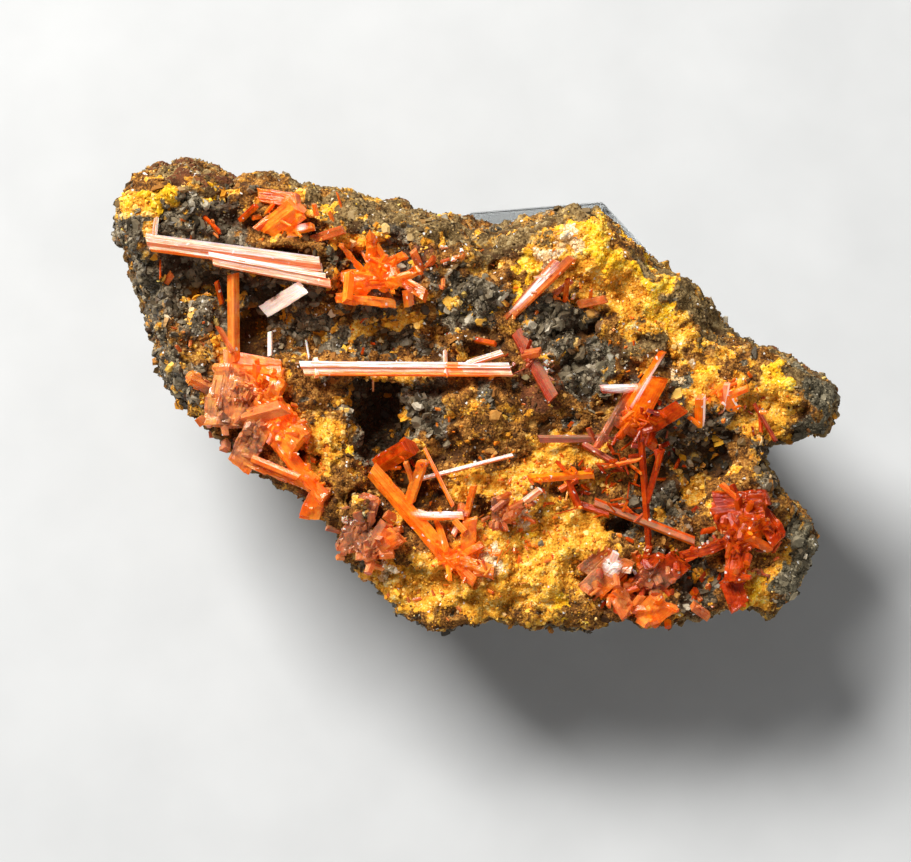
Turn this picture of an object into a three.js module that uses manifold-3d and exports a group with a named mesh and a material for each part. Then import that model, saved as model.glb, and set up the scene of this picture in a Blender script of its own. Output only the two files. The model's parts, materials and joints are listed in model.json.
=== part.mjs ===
// A crocoite specimen on a clear display block: long orange-red prisms of crocoite on a lump
// of vuggy, iron-stained rock, which rests tilted toward the viewer on a six-sided block.
// Millimetres, +Z up. The origin is the middle of the block's underside.

import * as THREE from "three";
import { mergeVertices } from "three/addons/utils/BufferGeometryUtils.js";
import { ImprovedNoise } from "three/addons/math/ImprovedNoise.js";
import Module from "manifold-3d";

const wasm = await Module();
wasm.setup();

// Display block: an elongated hexagon, its two short edges at the back and the front.
const BLOCK_HEIGHT = 15;
const BLOCK_END = 18.4;
const BLOCK_SIDE = 30;
const BLOCK_CORNER = 125; // degrees, at both ends of the short edges
const BLOCK_TURN = 5; // degrees about Z
const BLOCK_BEVEL = 0.6;

// How the rock lies on the block.
const REST_GAP = 0.3;
const TILT = 18; // degrees that the rock's face leans toward -Y
const FACE_PLACE = [-13.3, -14.8, 35]; // the middle of the face

// The rock's face has u to the right, v up the slope and w out of the rock. A place on it is
// given as it lines up for an eye at this distance from the face: (u, v) is where the line of
// sight passes the plane w = 0.
const EYE_DISTANCE = 300;
const OUT = new THREE.Vector3(0, 0, 1);

// Rock: how the sphere that it is shaped from shares its faces, from the face round to the back.
const ROCK_DETAIL = 10;
const ROCK_CENTRE = [0.6, 2.6];
const ROCK_LONG_AXIS = -22; // degrees
const ROCK_STRETCH = 2;
const FACE_SHARE = 0.6;
const RIM_SHARE = 0.7;
const SIDE_SHARE = 0.86;
const FOOT_INSET = 0.16;
const END_RISE = 5; // the underside climbs toward the rock's ends
const LEVEL_REACH = [18, 46]; // how far from the block the climb starts and ends
const SEAT_CUT = 0.5; // depth that the seat is cut into the underside
// Roughness of the rock: the size of its bumps and how far they rise, on the face and on the
// broken sides and underside. The outline keeps only a share of it.
const BUMPS = [
  { size: 13, face: 0, side: 4 },
  { size: 6.1, face: 1, side: 2.8 },
  { size: 3.3, face: 1.4, side: 1.6 },
];
const OUTLINE_ROUGHNESS = 0.1;
const CALM_SHARE = 0.14; // how far from the outline the full roughness starts
const SOCKET_GAP = 0.3;
const SLAB = 160; // side of the slab that cuts the seat
const WELD = 1e-4; // corners nearer than this are one corner

// The rock's outline from the front, and the rim of its face inside that outline: (u, v).
const OUTLINE = [
  [47.4, 3.5], [47.2, 4.9], [46.4, 6.6], [44.9, 7.6], [43.1, 8.9], [38.7, 10.6], [35.6, 11.1],
  [32.7, 13.6], [32.6, 15.7], [29.3, 18.1], [26.6, 20.4], [24.1, 21.7], [22.2, 22.9],
  [20.6, 26.1], [18.4, 27], [16.2, 27.9], [13.9, 28.1], [12.2, 27.7], [8.7, 25.7], [6.6, 25.5],
  [3.8, 24.9], [-0.1, 26.1], [-4.4, 26.6], [-5.9, 27.7], [-9.7, 28.1], [-13.8, 29.6],
  [-15.3, 30.5], [-18.8, 30.4], [-20.6, 30.1], [-22.2, 31.4], [-25.1, 31], [-29.2, 32],
  [-31.9, 32.9], [-34.2, 33.4], [-37.2, 33.7], [-38.4, 33.1], [-40.2, 31], [-41.4, 29.2],
  [-41.9, 27.4], [-42.6, 25.1], [-41.7, 22.4], [-40.6, 21.1], [-39.8, 18.5], [-38.9, 13.2],
  [-38.1, 9.9], [-36.7, 7.5], [-35.4, 5.1], [-33.9, 3.7], [-31.6, 2], [-31.2, 0.6],
  [-29.7, -0.9], [-29.3, -2.5], [-26.2, -4.6], [-22.6, -5.9], [-19.1, -6.9], [-16.3, -9.9],
  [-14.3, -13.4], [-12.8, -16.1], [-13.6, -17.6], [-10.9, -18.9], [-7.6, -21.1], [-6.8, -22.4],
  [-4.1, -24.7], [-1.3, -24.9], [0.6, -24.1], [3.8, -24.7], [7.4, -23.9], [11.2, -23.9],
  [14.1, -24.4], [15.6, -25.5], [18.4, -24.2], [23.7, -24.6], [28.1, -23.6], [32.7, -23.2],
  [33.9, -22], [37.4, -22.7], [39.7, -23.2], [42.3, -21.4], [43.2, -19.2], [43.2, -16.1],
  [44.1, -14.9], [44.6, -12], [43.3, -8.4], [40.3, -7], [39.2, -4.9], [39.3, -3], [40.6, -1.6],
  [43.1, -1.2], [44.9, -0.6], [46.6, 0.6],
];
const FACE_RIM = [
  [45.8, 3.5], [44.9, 5.7], [41.8, 7.4], [35.6, 8.2], [31.2, 9.5], [28.4, 12], [27.1, 15.7],
  [23.7, 18.2], [21.8, 22], [19.6, 25.4], [16.8, 25.4], [10.6, 24.1], [5.6, 22.4], [3.1, 21.1],
  [0.6, 22], [-1.9, 24.9], [-4.4, 25.4], [-11.3, 25.7], [-16.7, 27.2], [-19.4, 29.1],
  [-21.9, 30.1], [-26.9, 30.6], [-31.9, 31.1], [-38.9, 31.1], [-40.2, 29.2], [-41, 27],
  [-40.7, 23.9], [-38.8, 21.1], [-37.2, 18.2], [-36.3, 13.9], [-35.4, 8.9], [-34.4, 5.7],
  [-32.7, 3.9], [-30.3, 0.7], [-28.4, -2.1], [-24.2, -4.4], [-18.8, -6.1], [-15.7, -9.2],
  [-13.8, -12.4], [-12.3, -15.1], [-10.7, -17.6], [-6.9, -20.5], [-3.8, -23.5], [-1.3, -23.6],
  [3.8, -23.6], [11.2, -22.9], [14.9, -24.2], [18.1, -23.2], [25.6, -23.2], [32.4, -22],
  [35.6, -21.5], [39.9, -21.7], [41.8, -18.6], [42.7, -13.6], [41.8, -9.2], [39.6, -8],
  [38.1, -4.9], [38.6, -1.7], [41.8, -0.4], [44.6, 0.7],
];

// Relief of the face: the middle (u, v), the two half widths and the height of each form.
const FACE_BASE = -1.6;
const HOLLOWS = {
  underLongPair: [-33, 18.8, 7, 3.2, -3],
  topLeft: [-31.5, 27, 6, 2.4, -1.6],
  upperLeft: [-21.5, 12.8, 7.5, 3.6, -4.2],
  besideUpright: [-25, 12.4, 2.2, 3, -2.4],
  middle: [-8.2, 11, 8.5, 3.6, -4],
  vug: [-9.2, 1, 2.9, 4.4, -8.5],
  pitBelowVug: [-6.4, -5.4, 1.8, 1.8, -3.6],
  pitByFork: [-4.2, -8.3, 2, 1.5, -3],
  pitByPair: [16.6, 12.4, 1.7, 1.7, -3],
  underFan: [27.8, -6.4, 5, 4.6, -3.8],
  lowerRight: [20, -11.6, 3, 1.8, -1.8],
  rightHollow: [32, -2, 3.2, 3, -2],
  lowerMiddle: [7.5, 4.5, 3, 3, -1.6],
};
const LUMPS = {
  bladeByPair: [-15.7, 21.1, 1.5, 3, 3.4],
  greyLump: [0.4, 10.8, 1.5, 2.5, 5.2],
  knobblyUpper: [11.6, 16.1, 1.8, 2.3, 2.4],
  knobblyLeft: [8.3, 14.1, 1.3, 1.3, 1.8],
  knobblyLower: [13.7, 11.4, 3, 1.6, 1.8],
  yellowMass: [15.6, 22.6, 5, 3.2, 1.8],
  yellowLeft: [6.5, 17.4, 3, 2.2, 1.2],
  goldenShoulder: [24.4, 13.4, 3.6, 5, 1.6],
  rightYellow: [39.7, 6.2, 4, 1.8, 1.4],
  rightOchre: [37.5, -1.2, 2.2, 2.8, 1.2],
  spongyRidge: [-17, -3, 3.6, 3, 2.2],
  spongyRidgeLow: [-14.4, -8.4, 2.6, 3, 1.6],
  lowerLeftLump: [-9.6, -13.4, 3.4, 3, 1.8],
  middleOchre: [2.4, 1.6, 5.5, 4.4, 1.8],
  bottomOchre: [8.4, -17.4, 9, 4.6, 1.4],
  edgeMassBed: [-26.6, 4.4, 4.6, 3, 1],
  cornerYellow: [-38.2, 27.6, 3, 2.4, 1.2],
  rightBed: [36, -14, 3.6, 5, 1],
  greyEnd: [43, -13.6, 2.2, 5, -1.6],
};

// How far the rim drops from the face to the outline: least at the front edge, more at the
// back edge (v from 4 to 16) and the left end (u from -24 to -35), where the rock widens.
const RIM_DROP = { front: 2.4, back: 5.5, left: 5 };
const BACK_EDGE = [4, 16];
const LEFT_END = [24, 35];
const RIM_CURVE = 1.6;

// Crystals. root and tip are (u, v, height over the rock's face); wide and deep are the
// thickness across the face and out of it. Each has sides flat faces along its length. turn
// (degrees) rolls them about its axis, slant tilts the end face and point raises its middle.
// A beam bridges a hollow or another crystal, so its ends are (u, v, w) instead.
const LOOK = { sides: 4, turn: 20, slant: 0.3, point: 0, bridges: false };
function crystal(root, tip, wide, deep, look = {}) {
  return { root, tip, wide, deep, ...LOOK, ...look };
}
function beam(root, tip, wide, deep, look = {}) {
  return crystal(root, tip, wide, deep, { ...look, bridges: true });
}
const SIX = { sides: 6, turn: 10 };
const FLAT = { turn: 45 };
const SHARP = { turn: 0, point: 0.8 };

const PALE = { color: "#e9b9a4", roughness: 0.25, metalness: 0 };
const RED = { color: "#c9411c", roughness: 0.2, metalness: 0 };
const ORANGE = { color: "#e2591d", roughness: 0.22, metalness: 0 };
const MAROON = { color: "#8f2d1f", roughness: 0.3, metalness: 0 };
const PINK = { color: "#cf6a55", roughness: 0.25, metalness: 0 };

const BUNCHES = {
  long_pair: [PALE, [
    beam([-38.6, 23.9, -0.4], [-16.9, 21, 0.2], 1.6, 1.5, { ...SIX, turn: 20 }),
    beam([-38.2, 23.1, -0.7], [-16.6, 20.3, -0.2], 1.3, 1.3, { turn: 30 }),
    beam([-30.8, 21.9, 0.5], [-16.2, 19.2, 0.6], 1, 1.3, { turn: 15 }),
    beam([-30.3, 21.2, 0.4], [-15.6, 18.4, 0.6], 1.1, 1.2, { turn: 35 }),
    beam([-37.4, 26.6, -1.2], [-37.7, 23.6, -0.2], 0.7, 0.7),
  ]],
  white_plate: [PALE, [crystal([-23.8, 15, 0], [-19.2, 17.9, 2.6], 1.8, 0.8, FLAT)]],
  long_middle_prism: [PALE, [
    beam([-19.4, 8.2, 0.2], [6.8, 8, 0.1], 1.1, 1.4, { turn: 15 }),
    beam([-19, 7.5, 0.1], [7, 7.4, 0], 1.2, 1.3, { turn: 35 }),
    beam([-17.6, 9, -0.6], [-17.3, 6.8, 0.9], 0.8, 0.8),
    beam([1.2, 8.3, 0], [5.9, 9.8, 0.5], 0.9, 0.8),
  ]],
  red_sliver: [RED, [crystal([2.4, 11.4, -0.3], [5, 10.9, 2], 0.8, 0.8)]],
  thin_needle: [PALE, [crystal([-23.2, 9.4, 1.6], [-23.2, 12.4, 4.6], 0.6, 0.6)]],
  thick_prisms: [ORANGE, [
    crystal([-23.6, 25.2, -0.6], [-19.8, 28.2, 2], 2.7, 2.4, SIX),
    crystal([-24.4, 29.4, -0.8], [-19.6, 28.8, 1.2], 1.7, 1.6, FLAT),
    crystal([-21.4, 25.4, 0], [-19, 26.9, 2.2], 0.9, 0.9),
    crystal([-20.5, 28.8, 0.6], [-19.5, 26.6, 2.8], 0.9, 0.8),
    crystal([-21.4, 24.8, -0.4], [-17.8, 25.6, 1.4], 1.2, 1),
  ]],
  pink_blade: [PINK, [crystal([-17.9, 23.9, -0.4], [-14, 25.2, 1.8], 1.1, 0.7, FLAT)]],
  top_blade: [RED, [crystal([-26.9, 26.3, -0.4], [-24.9, 28.2, 1.4], 0.8, 0.7)]],
  corner_sliver: [RED, [crystal([-31.6, 26.9, -0.3], [-29.5, 24.8, 1.2], 0.6, 0.6)]],
  sunburst: [ORANGE, [
    crystal([-14, 18.8, -0.4], [-7, 19.4, 1.8], 2.7, 2.2, SIX),
    crystal([-12.2, 17.4, -0.6], [-9.2, 21.4, 1.8], 2.4, 2, FLAT),
    crystal([-11.3, 19.6, 0], [-14.2, 23.1, 2.4], 0.8, 0.8, SHARP),
    crystal([-10.1, 20, 0], [-10.6, 24.1, 2.6], 1.5, 1.4, { ...SHARP, point: 1.2 }),
    crystal([-9.2, 20.4, 0], [-6.3, 22, 2.2], 1, 0.8),
    crystal([-7.6, 15.9, 0.4], [-14.9, 16.7, 1.8], 1.1, 1, FLAT),
    crystal([-7.6, 19.4, 0], [-3.8, 17, 2], 1.4, 0.9, FLAT),
    crystal([-9.6, 17.8, 0.2], [-4.4, 20.2, 1.6], 1.3, 0.8),
  ]],
  small_blades: [PINK, [
    crystal([-4, 19.6, -0.4], [-5.3, 22.5, 1.8], 1, 0.7, FLAT),
  ]],
  diagonal_pair: [PINK, [
    crystal([6.3, 14, -0.3], [12.6, 21.3, 2.2], 1, 0.9, { turn: 12 }),
    crystal([7.2, 14.6, 0], [14.6, 21.7, 2.4], 1.2, 1, { turn: 30 }),
  ]],
  pair_sliver: [RED, [
    crystal([13.7, 16.2, -0.3], [14, 19, 2], 0.7, 0.6),
  ]],
  pair_blade: [PINK, [crystal([15.4, 15.8, -0.3], [18.8, 16.5, 1.6], 1, 0.7, FLAT)]],
  brown_blade: [MAROON, [
    crystal([7.6, 12.4, 0], [12.2, 4, 2.4], 1.7, 0.9, { turn: 40 }),
  ]],
  crossed_needles: [PALE, [
    crystal([-4.4, -6, 1.2], [7.2, -3, 2], 0.6, 0.6),
    crystal([-3.9, -2.2, -0.2], [-0.3, -9.4, 2.2], 0.55, 0.55),
  ]],
  red_block: [RED, [crystal([-9.4, -4.1, 0.4], [-5.6, -1.9, 3.6], 2.4, 2.2, SIX)]],
  spray: [ORANGE, [
    beam([-10.5, -4.8, -0.8], [-0.1, -16.8, -0.6], 2.1, 1.9, { turn: 15 }),
    beam([-5.8, -8.9, -0.8], [-4, -3.7, 1.2], 1.4, 1.2, { turn: 30 }),
    beam([-5.3, -6.6, 0], [-6.2, -3.9, 1.8], 0.7, 0.7),
    beam([-4.6, -11.6, -0.8], [-1.2, -15, 0], 1.3, 1.1),
    beam([-5.2, -10.6, -0.6], [1, -10.6, 0], 1, 0.9, FLAT),
    crystal([-1.4, -15.5, 0.8], [4.8, -17.7, 0.8], 1.8, 1.5),
    crystal([0.2, -16, 0.4], [3.4, -14.2, 1.4], 1.1, 1),
    crystal([-0.4, -16.2, 0.6], [2.4, -18.9, 1], 1.3, 1.1),
    crystal([1.5, -15.4, 0], [1.8, -11, 1.6], 1.8, 1.3, FLAT),
    crystal([1.2, -11.4, 0.4], [2.3, -6.8, 1.8], 0.9, 0.8),
  ]],
  plate_cluster: [PINK, [
    crystal([5.2, -12.3, 0], [5.2, -8.4, 1.9], 1.3, 0.8, FLAT),
    crystal([6.6, -11.2, 0], [6.2, -7.9, 2.2], 0.7, 0.7),
    crystal([6.2, -11.4, 0], [10.8, -7.3, 1.8], 0.9, 0.8, { turn: 30 }),
  ]],
  edge_cluster: [ORANGE, [
    beam([-27.7, 8.6, -0.7], [-27.8, 19.6, -0.9], 1.5, 1.4, { turn: 10 }),
    crystal([-28.8, 8.9, 0.2], [-21.6, 7.5, 1.2], 2.6, 2.2, { turn: 30 }),
    crystal([-27.4, 6.2, 0.2], [-21.8, 4.8, 1.4], 3, 2.2, { turn: 35, slant: -0.2 }),
    crystal([-27.6, 8.2, 0.2], [-29, 0.6, 0.8], 5, 3.2, { ...SIX, slant: 0.1 }),
    crystal([-30.6, 5.2, -0.6], [-33.3, 6.6, 1.2], 1.8, 1.6, { ...SIX, point: 0.4 }),
    crystal([-24.1, 1.6, 1.6], [-27.1, -4.4, 0.6], 3.2, 1, { ...FLAT, slant: -0.2 }),
    crystal([-24.6, 4.2, 0.2], [-19.4, -1.6, 1.4], 4.2, 2.8, { ...SIX, slant: 0.2 }),
    beam([-26.4, -3.6, -0.9], [-17.4, -7.2, -0.9], 1.2, 1.6, FLAT),
    crystal([-22.8, -0.8, 0.6], [-16.4, -8.5, 1.2], 2.1, 1.8, { turn: 30 }),
    crystal([-16.8, -7, -0.4], [-18.1, -10.6, -1.2], 2.5, 2.2, FLAT),
  ]],
  left_splinter: [RED, [crystal([-29.2, 15.9, -0.3], [-29.9, 18.7, 1.6], 0.7, 0.6)]],
  brown_lump_crystals: [PINK, [
    crystal([-13.4, -15, -0.4], [-11, -8.2, 1.2], 3.3, 2.6, { ...SIX, slant: 0.2 }),
    crystal([-11.6, -15.6, -0.2], [-7, -13, 1], 2.6, 2.2, { turn: 35 }),
  ]],
  fan: [RED, [
    crystal([23.1, 5.4, 0.6], [18.2, 5.2, 2.2], 1.1, 0.9, { turn: 15 }),
    crystal([20.9, 2, 0.2], [25.9, 9.9, 3], 0.9, 0.8),
    crystal([22.6, 1.4, 0], [25.3, 6.6, 2], 2.5, 1, FLAT),
    crystal([23.6, 3.4, 0], [20.4, -0.9, 1.8], 1, 0.9),
    crystal([21.7, 4.9, 0.2], [17.6, -2.1, 2.2], 1, 0.9, { turn: 10 }),
    crystal([23.4, 0, -0.4], [28.2, 3, 1.8], 2, 1, FLAT),
    crystal([25, -1.8, -0.2], [19.8, 1.6, 1.2], 1.6, 1.2),
  ]],
  red_rods: [MAROON, [
    crystal([20.6, -0.9, -0.2], [10.4, -1, 1.4], 1, 0.9),
    crystal([15.9, -1.6, 0.4], [20.9, -4.6, 2.2], 0.9, 0.8),
  ]],
  lower_rods: [RED, [
    crystal([17.2, -5.4, -0.2], [9.1, -6, 1.6], 1.1, 1, { turn: 12 }),
    crystal([13.8, -5.8, 0.2], [15.4, -9.5, 1.2], 1, 0.9),
  ]],
  crossing_prisms: [RED, [
    beam([24.2, -14.8, -1.2], [23.1, 0.4, 2], 0.9, 0.8, { turn: 10 }),
    beam([23.9, -9, 0], [25.8, -2.3, 1.6], 0.9, 0.8, { turn: 30 }),
    beam([17.4, -8.9, -1.2], [29.9, -13.8, 0.2], 1.2, 1.1, { turn: 25 }),
    beam([15, -9, -2], [19.2, -10.4, -1], 1, 0.9),
  ]],
  big_plate: [PINK, [
    crystal([16.9, -20, -0.4], [20.9, -15.8, 1.4], 3.2, 1.2, FLAT),
    crystal([16, -17.4, -0.4], [19.2, -14.8, 1.4], 1.6, 1, FLAT),
  ]],
  lower_plates: [RED, [
    crystal([24.2, -19.3, -0.4], [28.2, -16.2, 1.2], 3, 1.4, FLAT),
    crystal([23.2, -18.2, 0], [24.2, -14.4, 1.8], 1, 0.9),
    crystal([22.2, -19.8, -0.2], [25.4, -15.6, 1.4], 1.8, 1.3, { turn: 30 }),
  ]],
  edge_plates: [PINK, [
    crystal([23.8, -23.7, -0.4], [26.1, -21.5, 1.2], 3, 1.5, FLAT),
    crystal([19.8, -20, -0.2], [21.6, -22.8, 0.8], 2.2, 1.4, FLAT),
    crystal([20.6, -22.2, -0.2], [24.4, -22, 0.9], 1.6, 1.2),
  ]],
  edge_chip: [PINK, [crystal([31.6, -23.2, -0.6], [29.6, -21.8, 1], 1.3, 1)]],
  right_cluster: [RED, [
    crystal([32.4, -8.4, 0.6], [39, -8.3, 1.8], 1.8, 1.4, FLAT),
    crystal([32.6, -11.2, -0.2], [38.8, -10.3, 1.4], 4.2, 2.4, { ...SIX, slant: 0.1 }),
    crystal([34.2, -14.4, 0], [36.8, -10.8, 2.2], 2.6, 2, { turn: 30 }),
    crystal([37.8, -9.6, 0], [40.4, -13.6, 1.2], 2.2, 1.2, FLAT),
    crystal([35.5, -13.2, 0.2], [35, -18.8, 1.6], 3, 2.3, { ...SIX, slant: 0.2 }),
    crystal([34.2, -18.4, -0.2], [35.6, -22, 0.8], 2.6, 1.6, FLAT),
    crystal([33.6, -14, 0.6], [28.3, -15.7, 2.4], 1.4, 1.1, { turn: 30, point: 0.3 }),
  ]],
  top_stub: [ORANGE, [crystal([30.5, 0.6, -0.6], [30.6, 4.3, 2], 1.4, 1.2, { turn: 15 })]],
  top_prisms: [ORANGE, [
    crystal([33.3, 2.2, -0.3], [33.9, 5.9, 2], 0.9, 0.8),
    crystal([34.8, 2.4, -0.6], [33, 5.4, 1.2], 1.7, 1.4, SIX),
  ]],
  right_needles: [MAROON, [
    crystal([37.3, 3.4, 0.4], [40, -1.2, 1.2], 0.6, 0.6),
  ]],
};

const noise = new ImprovedNoise();
const radians = THREE.MathUtils.degToRad;

function ramp(value, from, to) {
  const share = THREE.MathUtils.clamp((value - from) / (to - from), 0, 1);
  return share * share * (3 - 2 * share);
}

// The point at height w that lines up with (u, v).
function seen(u, v, w) {
  const spread = (EYE_DISTANCE - w) / EYE_DISTANCE;
  return new THREE.Vector3(u * spread, v * spread, w);
}

// Height of the rock's face at (u, v), without its grain.
function faceHeight(u, v) {
  let height = FACE_BASE;
  for (const [cu, cv, ru, rv, rise] of [...Object.values(HOLLOWS), ...Object.values(LUMPS)]) {
    height += rise * Math.exp(-(((u - cu) / ru) ** 2) - ((v - cv) / rv) ** 2);
  }
  return height;
}

function crystalEnd([u, v, height], bridges) {
  return seen(u, v, bridges ? height : faceHeight(u, v) + height);
}

// A closed mesh as a solid, and a solid as a mesh.
function solidOf(geometry) {
  const bare = geometry.clone();
  bare.deleteAttribute("normal");
  bare.deleteAttribute("uv");
  const merged = mergeVertices(bare, WELD);
  const vertProperties = new Float32Array(merged.attributes.position.array);
  const triVerts = new Uint32Array(merged.index.array);
  return new wasm.Manifold(new wasm.Mesh({ numProp: 3, vertProperties, triVerts }));
}

function geometryOf(solid) {
  const { vertProperties, triVerts } = solid.getMesh();
  const geometry = new THREE.BufferGeometry();
  geometry.setAttribute("position", new THREE.BufferAttribute(vertProperties, 3));
  geometry.setIndex(new THREE.BufferAttribute(triVerts, 1));
  geometry.computeVertexNormals();
  return geometry;
}

// One crystal, made larger all round by spare.
function crystalSolid(
  { root, tip, wide, deep, sides, turn, slant, point, bridges },
  spare = 0,
) {
  const from = crystalEnd(root, bridges);
  const along = crystalEnd(tip, bridges).sub(from);
  const length = along.length();
  along.normalize();
  const across = new THREE.Vector3().crossVectors(along, OUT).normalize();
  const front = new THREE.Vector3().crossVectors(across, along);
  const shape = new THREE.CylinderGeometry(1, 1, 1, sides, 1).rotateY(radians(turn));
  shape.computeBoundingBox();
  const { max } = shape.boundingBox;
  const scaleAcross = (wide / 2 + spare) / max.x;
  const scaleFront = (deep / 2 + spare) / max.z;
  const corners = shape.attributes.position;
  for (let i = 0; i < corners.count; i++) {
    const x = corners.getX(i) * scaleAcross;
    const z = corners.getZ(i) * scaleFront;
    const isMiddle = Math.hypot(x, z) < WELD;
    const end = corners.getY(i) > 0 ? length + spare + (isMiddle ? point : 0) : -spare;
    corners.setXYZ(i, x, end + slant * x, z);
  }
  shape.applyMatrix4(new THREE.Matrix4().makeBasis(across, along, front).setPosition(from));
  return solidOf(shape);
}

function bunchSolid(crystals, spare = 0) {
  return crystals
    .map((one) => crystalSolid(one, spare))
    .reduce((joined, next) => joined.add(next));
}

// How far an outline lies from the rock's centre in one direction.
function reach(outline, angle) {
  const [cu, cv] = ROCK_CENTRE;
  const [du, dv] = [Math.cos(angle), Math.sin(angle)];
  for (let i = 0; i < outline.length; i++) {
    const [au, av] = outline[i];
    const [bu, bv] = outline[(i + 1) % outline.length];
    const before = du * (av - cv) - dv * (au - cu);
    const after = du * (bv - cv) - dv * (bu - cu);
    const part = before / (before - after);
    const u = au + part * (bu - au) - cu;
    const v = av + part * (bv - av) - cv;
    if (before * after <= 0 && u * du + v * dv > 0) return Math.hypot(u, v);
  }
  throw new Error("the outline doesn't surround the rock's centre");
}

// The height w of the underside below (u, v): level over the block, and climbing to the ends.
function undersideHeight(u, v) {
  const away = Math.hypot(u + FACE_PLACE[0], v + FACE_PLACE[1]);
  const level = BLOCK_HEIGHT + REST_GAP + END_RISE * ramp(away, ...LEVEL_REACH) - SEAT_CUT;
  const tilt = radians(TILT);
  return (level - FACE_PLACE[2] - Math.sin(tilt) * v) / Math.cos(tilt);
}

// Where a point of the sphere goes: over the face, down the rim, round the side, underneath.
function rockPoint(from) {
  const turned = radians(ROCK_LONG_AXIS);
  const flat = Math.hypot(from.x, from.y) || 1;
  const [x, y] = [(ROCK_STRETCH * from.x) / flat, from.y / flat];
  const angle = Math.atan2(
    x * Math.sin(turned) + y * Math.cos(turned),
    x * Math.cos(turned) - y * Math.sin(turned),
  );
  const rim = reach(FACE_RIM, angle);
  const edge = reach(OUTLINE, angle);
  const share = (1 - from.z) / 2;
  const place = (radius) => [
    ROCK_CENTRE[0] + radius * Math.cos(angle),
    ROCK_CENTRE[1] + radius * Math.sin(angle),
  ];
  if (share <= FACE_SHARE) {
    const [u, v] = place(rim * Math.sqrt(share / FACE_SHARE));
    return seen(u, v, faceHeight(u, v));
  }
  const [ru, rv] = place(rim);
  const [eu, ev] = place(edge);
  const backDrop = RIM_DROP.back * ramp(ev, ...BACK_EDGE);
  const drop = RIM_DROP.front + backDrop + RIM_DROP.left * ramp(-eu, ...LEFT_END);
  const top = faceHeight(ru, rv);
  if (share <= RIM_SHARE) {
    const part = (share - FACE_SHARE) / (RIM_SHARE - FACE_SHARE);
    const w = top - drop * part ** RIM_CURVE;
    return seen(ru + (eu - ru) * part, rv + (ev - rv) * part, w);
  }
  const [fu, fv] = place(edge * (1 - FOOT_INSET));
  if (share <= SIDE_SHARE) {
    const part = (share - RIM_SHARE) / (SIDE_SHARE - RIM_SHARE);
    const [u, v] = place(edge * (1 - FOOT_INSET * part * part));
    const w = THREE.MathUtils.lerp(top - drop, undersideHeight(fu, fv), part);
    return seen(u, v, w);
  }
  const part = Math.sqrt((1 - share) / (1 - SIDE_SHARE));
  const [u, v] = place(edge * (1 - FOOT_INSET) * part);
  return seen(u, v, undersideHeight(u, v));
}

function rockSolid() {
  const sphere = new THREE.IcosahedronGeometry(1, ROCK_DETAIL);
  sphere.deleteAttribute("normal");
  sphere.deleteAttribute("uv");
  const rock = mergeVertices(sphere, WELD);
  const points = rock.attributes.position;
  const spot = new THREE.Vector3();
  const shares = [];
  for (let i = 0; i < points.count; i++) {
    spot.fromBufferAttribute(points, i);
    shares.push((1 - spot.z) / 2);
    points.setXYZ(i, ...rockPoint(spot));
  }
  rock.computeVertexNormals();
  const normals = rock.attributes.normal;
  const facing = new THREE.Vector3();
  for (let i = 0; i < points.count; i++) {
    spot.fromBufferAttribute(points, i);
    facing.fromBufferAttribute(normals, i);
    const sideways = ramp(shares[i], FACE_SHARE, RIM_SHARE);
    const fromOutline = ramp(Math.abs(shares[i] - RIM_SHARE), 0, CALM_SHARE);
    let rise = 0;
    for (const { size, face, side } of BUMPS) {
      const { x, y, z } = spot.clone().divideScalar(size);
      rise += THREE.MathUtils.lerp(face, side, sideways) * noise.noise(x, y, z);
    }
    rise *= THREE.MathUtils.lerp(OUTLINE_ROUGHNESS, 1, fromOutline);
    points.setXYZ(i, ...spot.addScaledVector(facing, rise));
  }
  return solidOf(rock);
}

// Everything below the level at which the rock rests, in the face's own directions.
function belowSeat() {
  const slab = new THREE.BoxGeometry(SLAB, SLAB, SLAB);
  const [x, y, z] = FACE_PLACE;
  slab.translate(-x, -y, BLOCK_HEIGHT + REST_GAP - z - SLAB / 2);
  return solidOf(slab.rotateX(-radians(TILT)));
}

function matrixSolid() {
  const sockets = Object.values(BUNCHES).map(([, crystals]) => bunchSolid(crystals, SOCKET_GAP));
  let rock = rockSolid().subtract(belowSeat());
  for (const socket of sockets) rock = rock.subtract(socket);
  const parts = rock.decompose().sort((a, b) => b.volume() - a.volume());
  return parts[0];
}

// The block's corners, walked round from the back edge. The second half repeats the first.
function blockCorners() {
  const endBend = 180 - BLOCK_CORNER;
  const half = [
    [BLOCK_END, endBend],
    [BLOCK_SIDE, 180 - 2 * endBend],
    [BLOCK_SIDE, endBend],
  ];
  const corners = [];
  const corner = new THREE.Vector2();
  let heading = radians(BLOCK_TURN);
  for (const [length, bend] of [...half, ...half]) {
    corners.push(corner.clone());
    corner.x += length * Math.cos(heading);
    corner.y += length * Math.sin(heading);
    heading -= radians(bend);
  }
  const middle = corners
    .reduce((sum, one) => sum.add(one), new THREE.Vector2())
    .divideScalar(corners.length);
  return corners.map((one) => one.sub(middle)).reverse();
}

function blockGeometry() {
  const block = new THREE.ExtrudeGeometry(new THREE.Shape(blockCorners()), {
    depth: BLOCK_HEIGHT - 2 * BLOCK_BEVEL,
    bevelEnabled: true,
    bevelThickness: BLOCK_BEVEL,
    bevelSize: BLOCK_BEVEL,
    bevelOffset: -BLOCK_BEVEL,
    bevelSegments: 1,
  });
  return block.translate(0, 0, BLOCK_BEVEL);
}

function named(name, geometry, look) {
  const mesh = new THREE.Mesh(geometry, new THREE.MeshStandardMaterial(look));
  mesh.name = name;
  return mesh;
}

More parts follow.
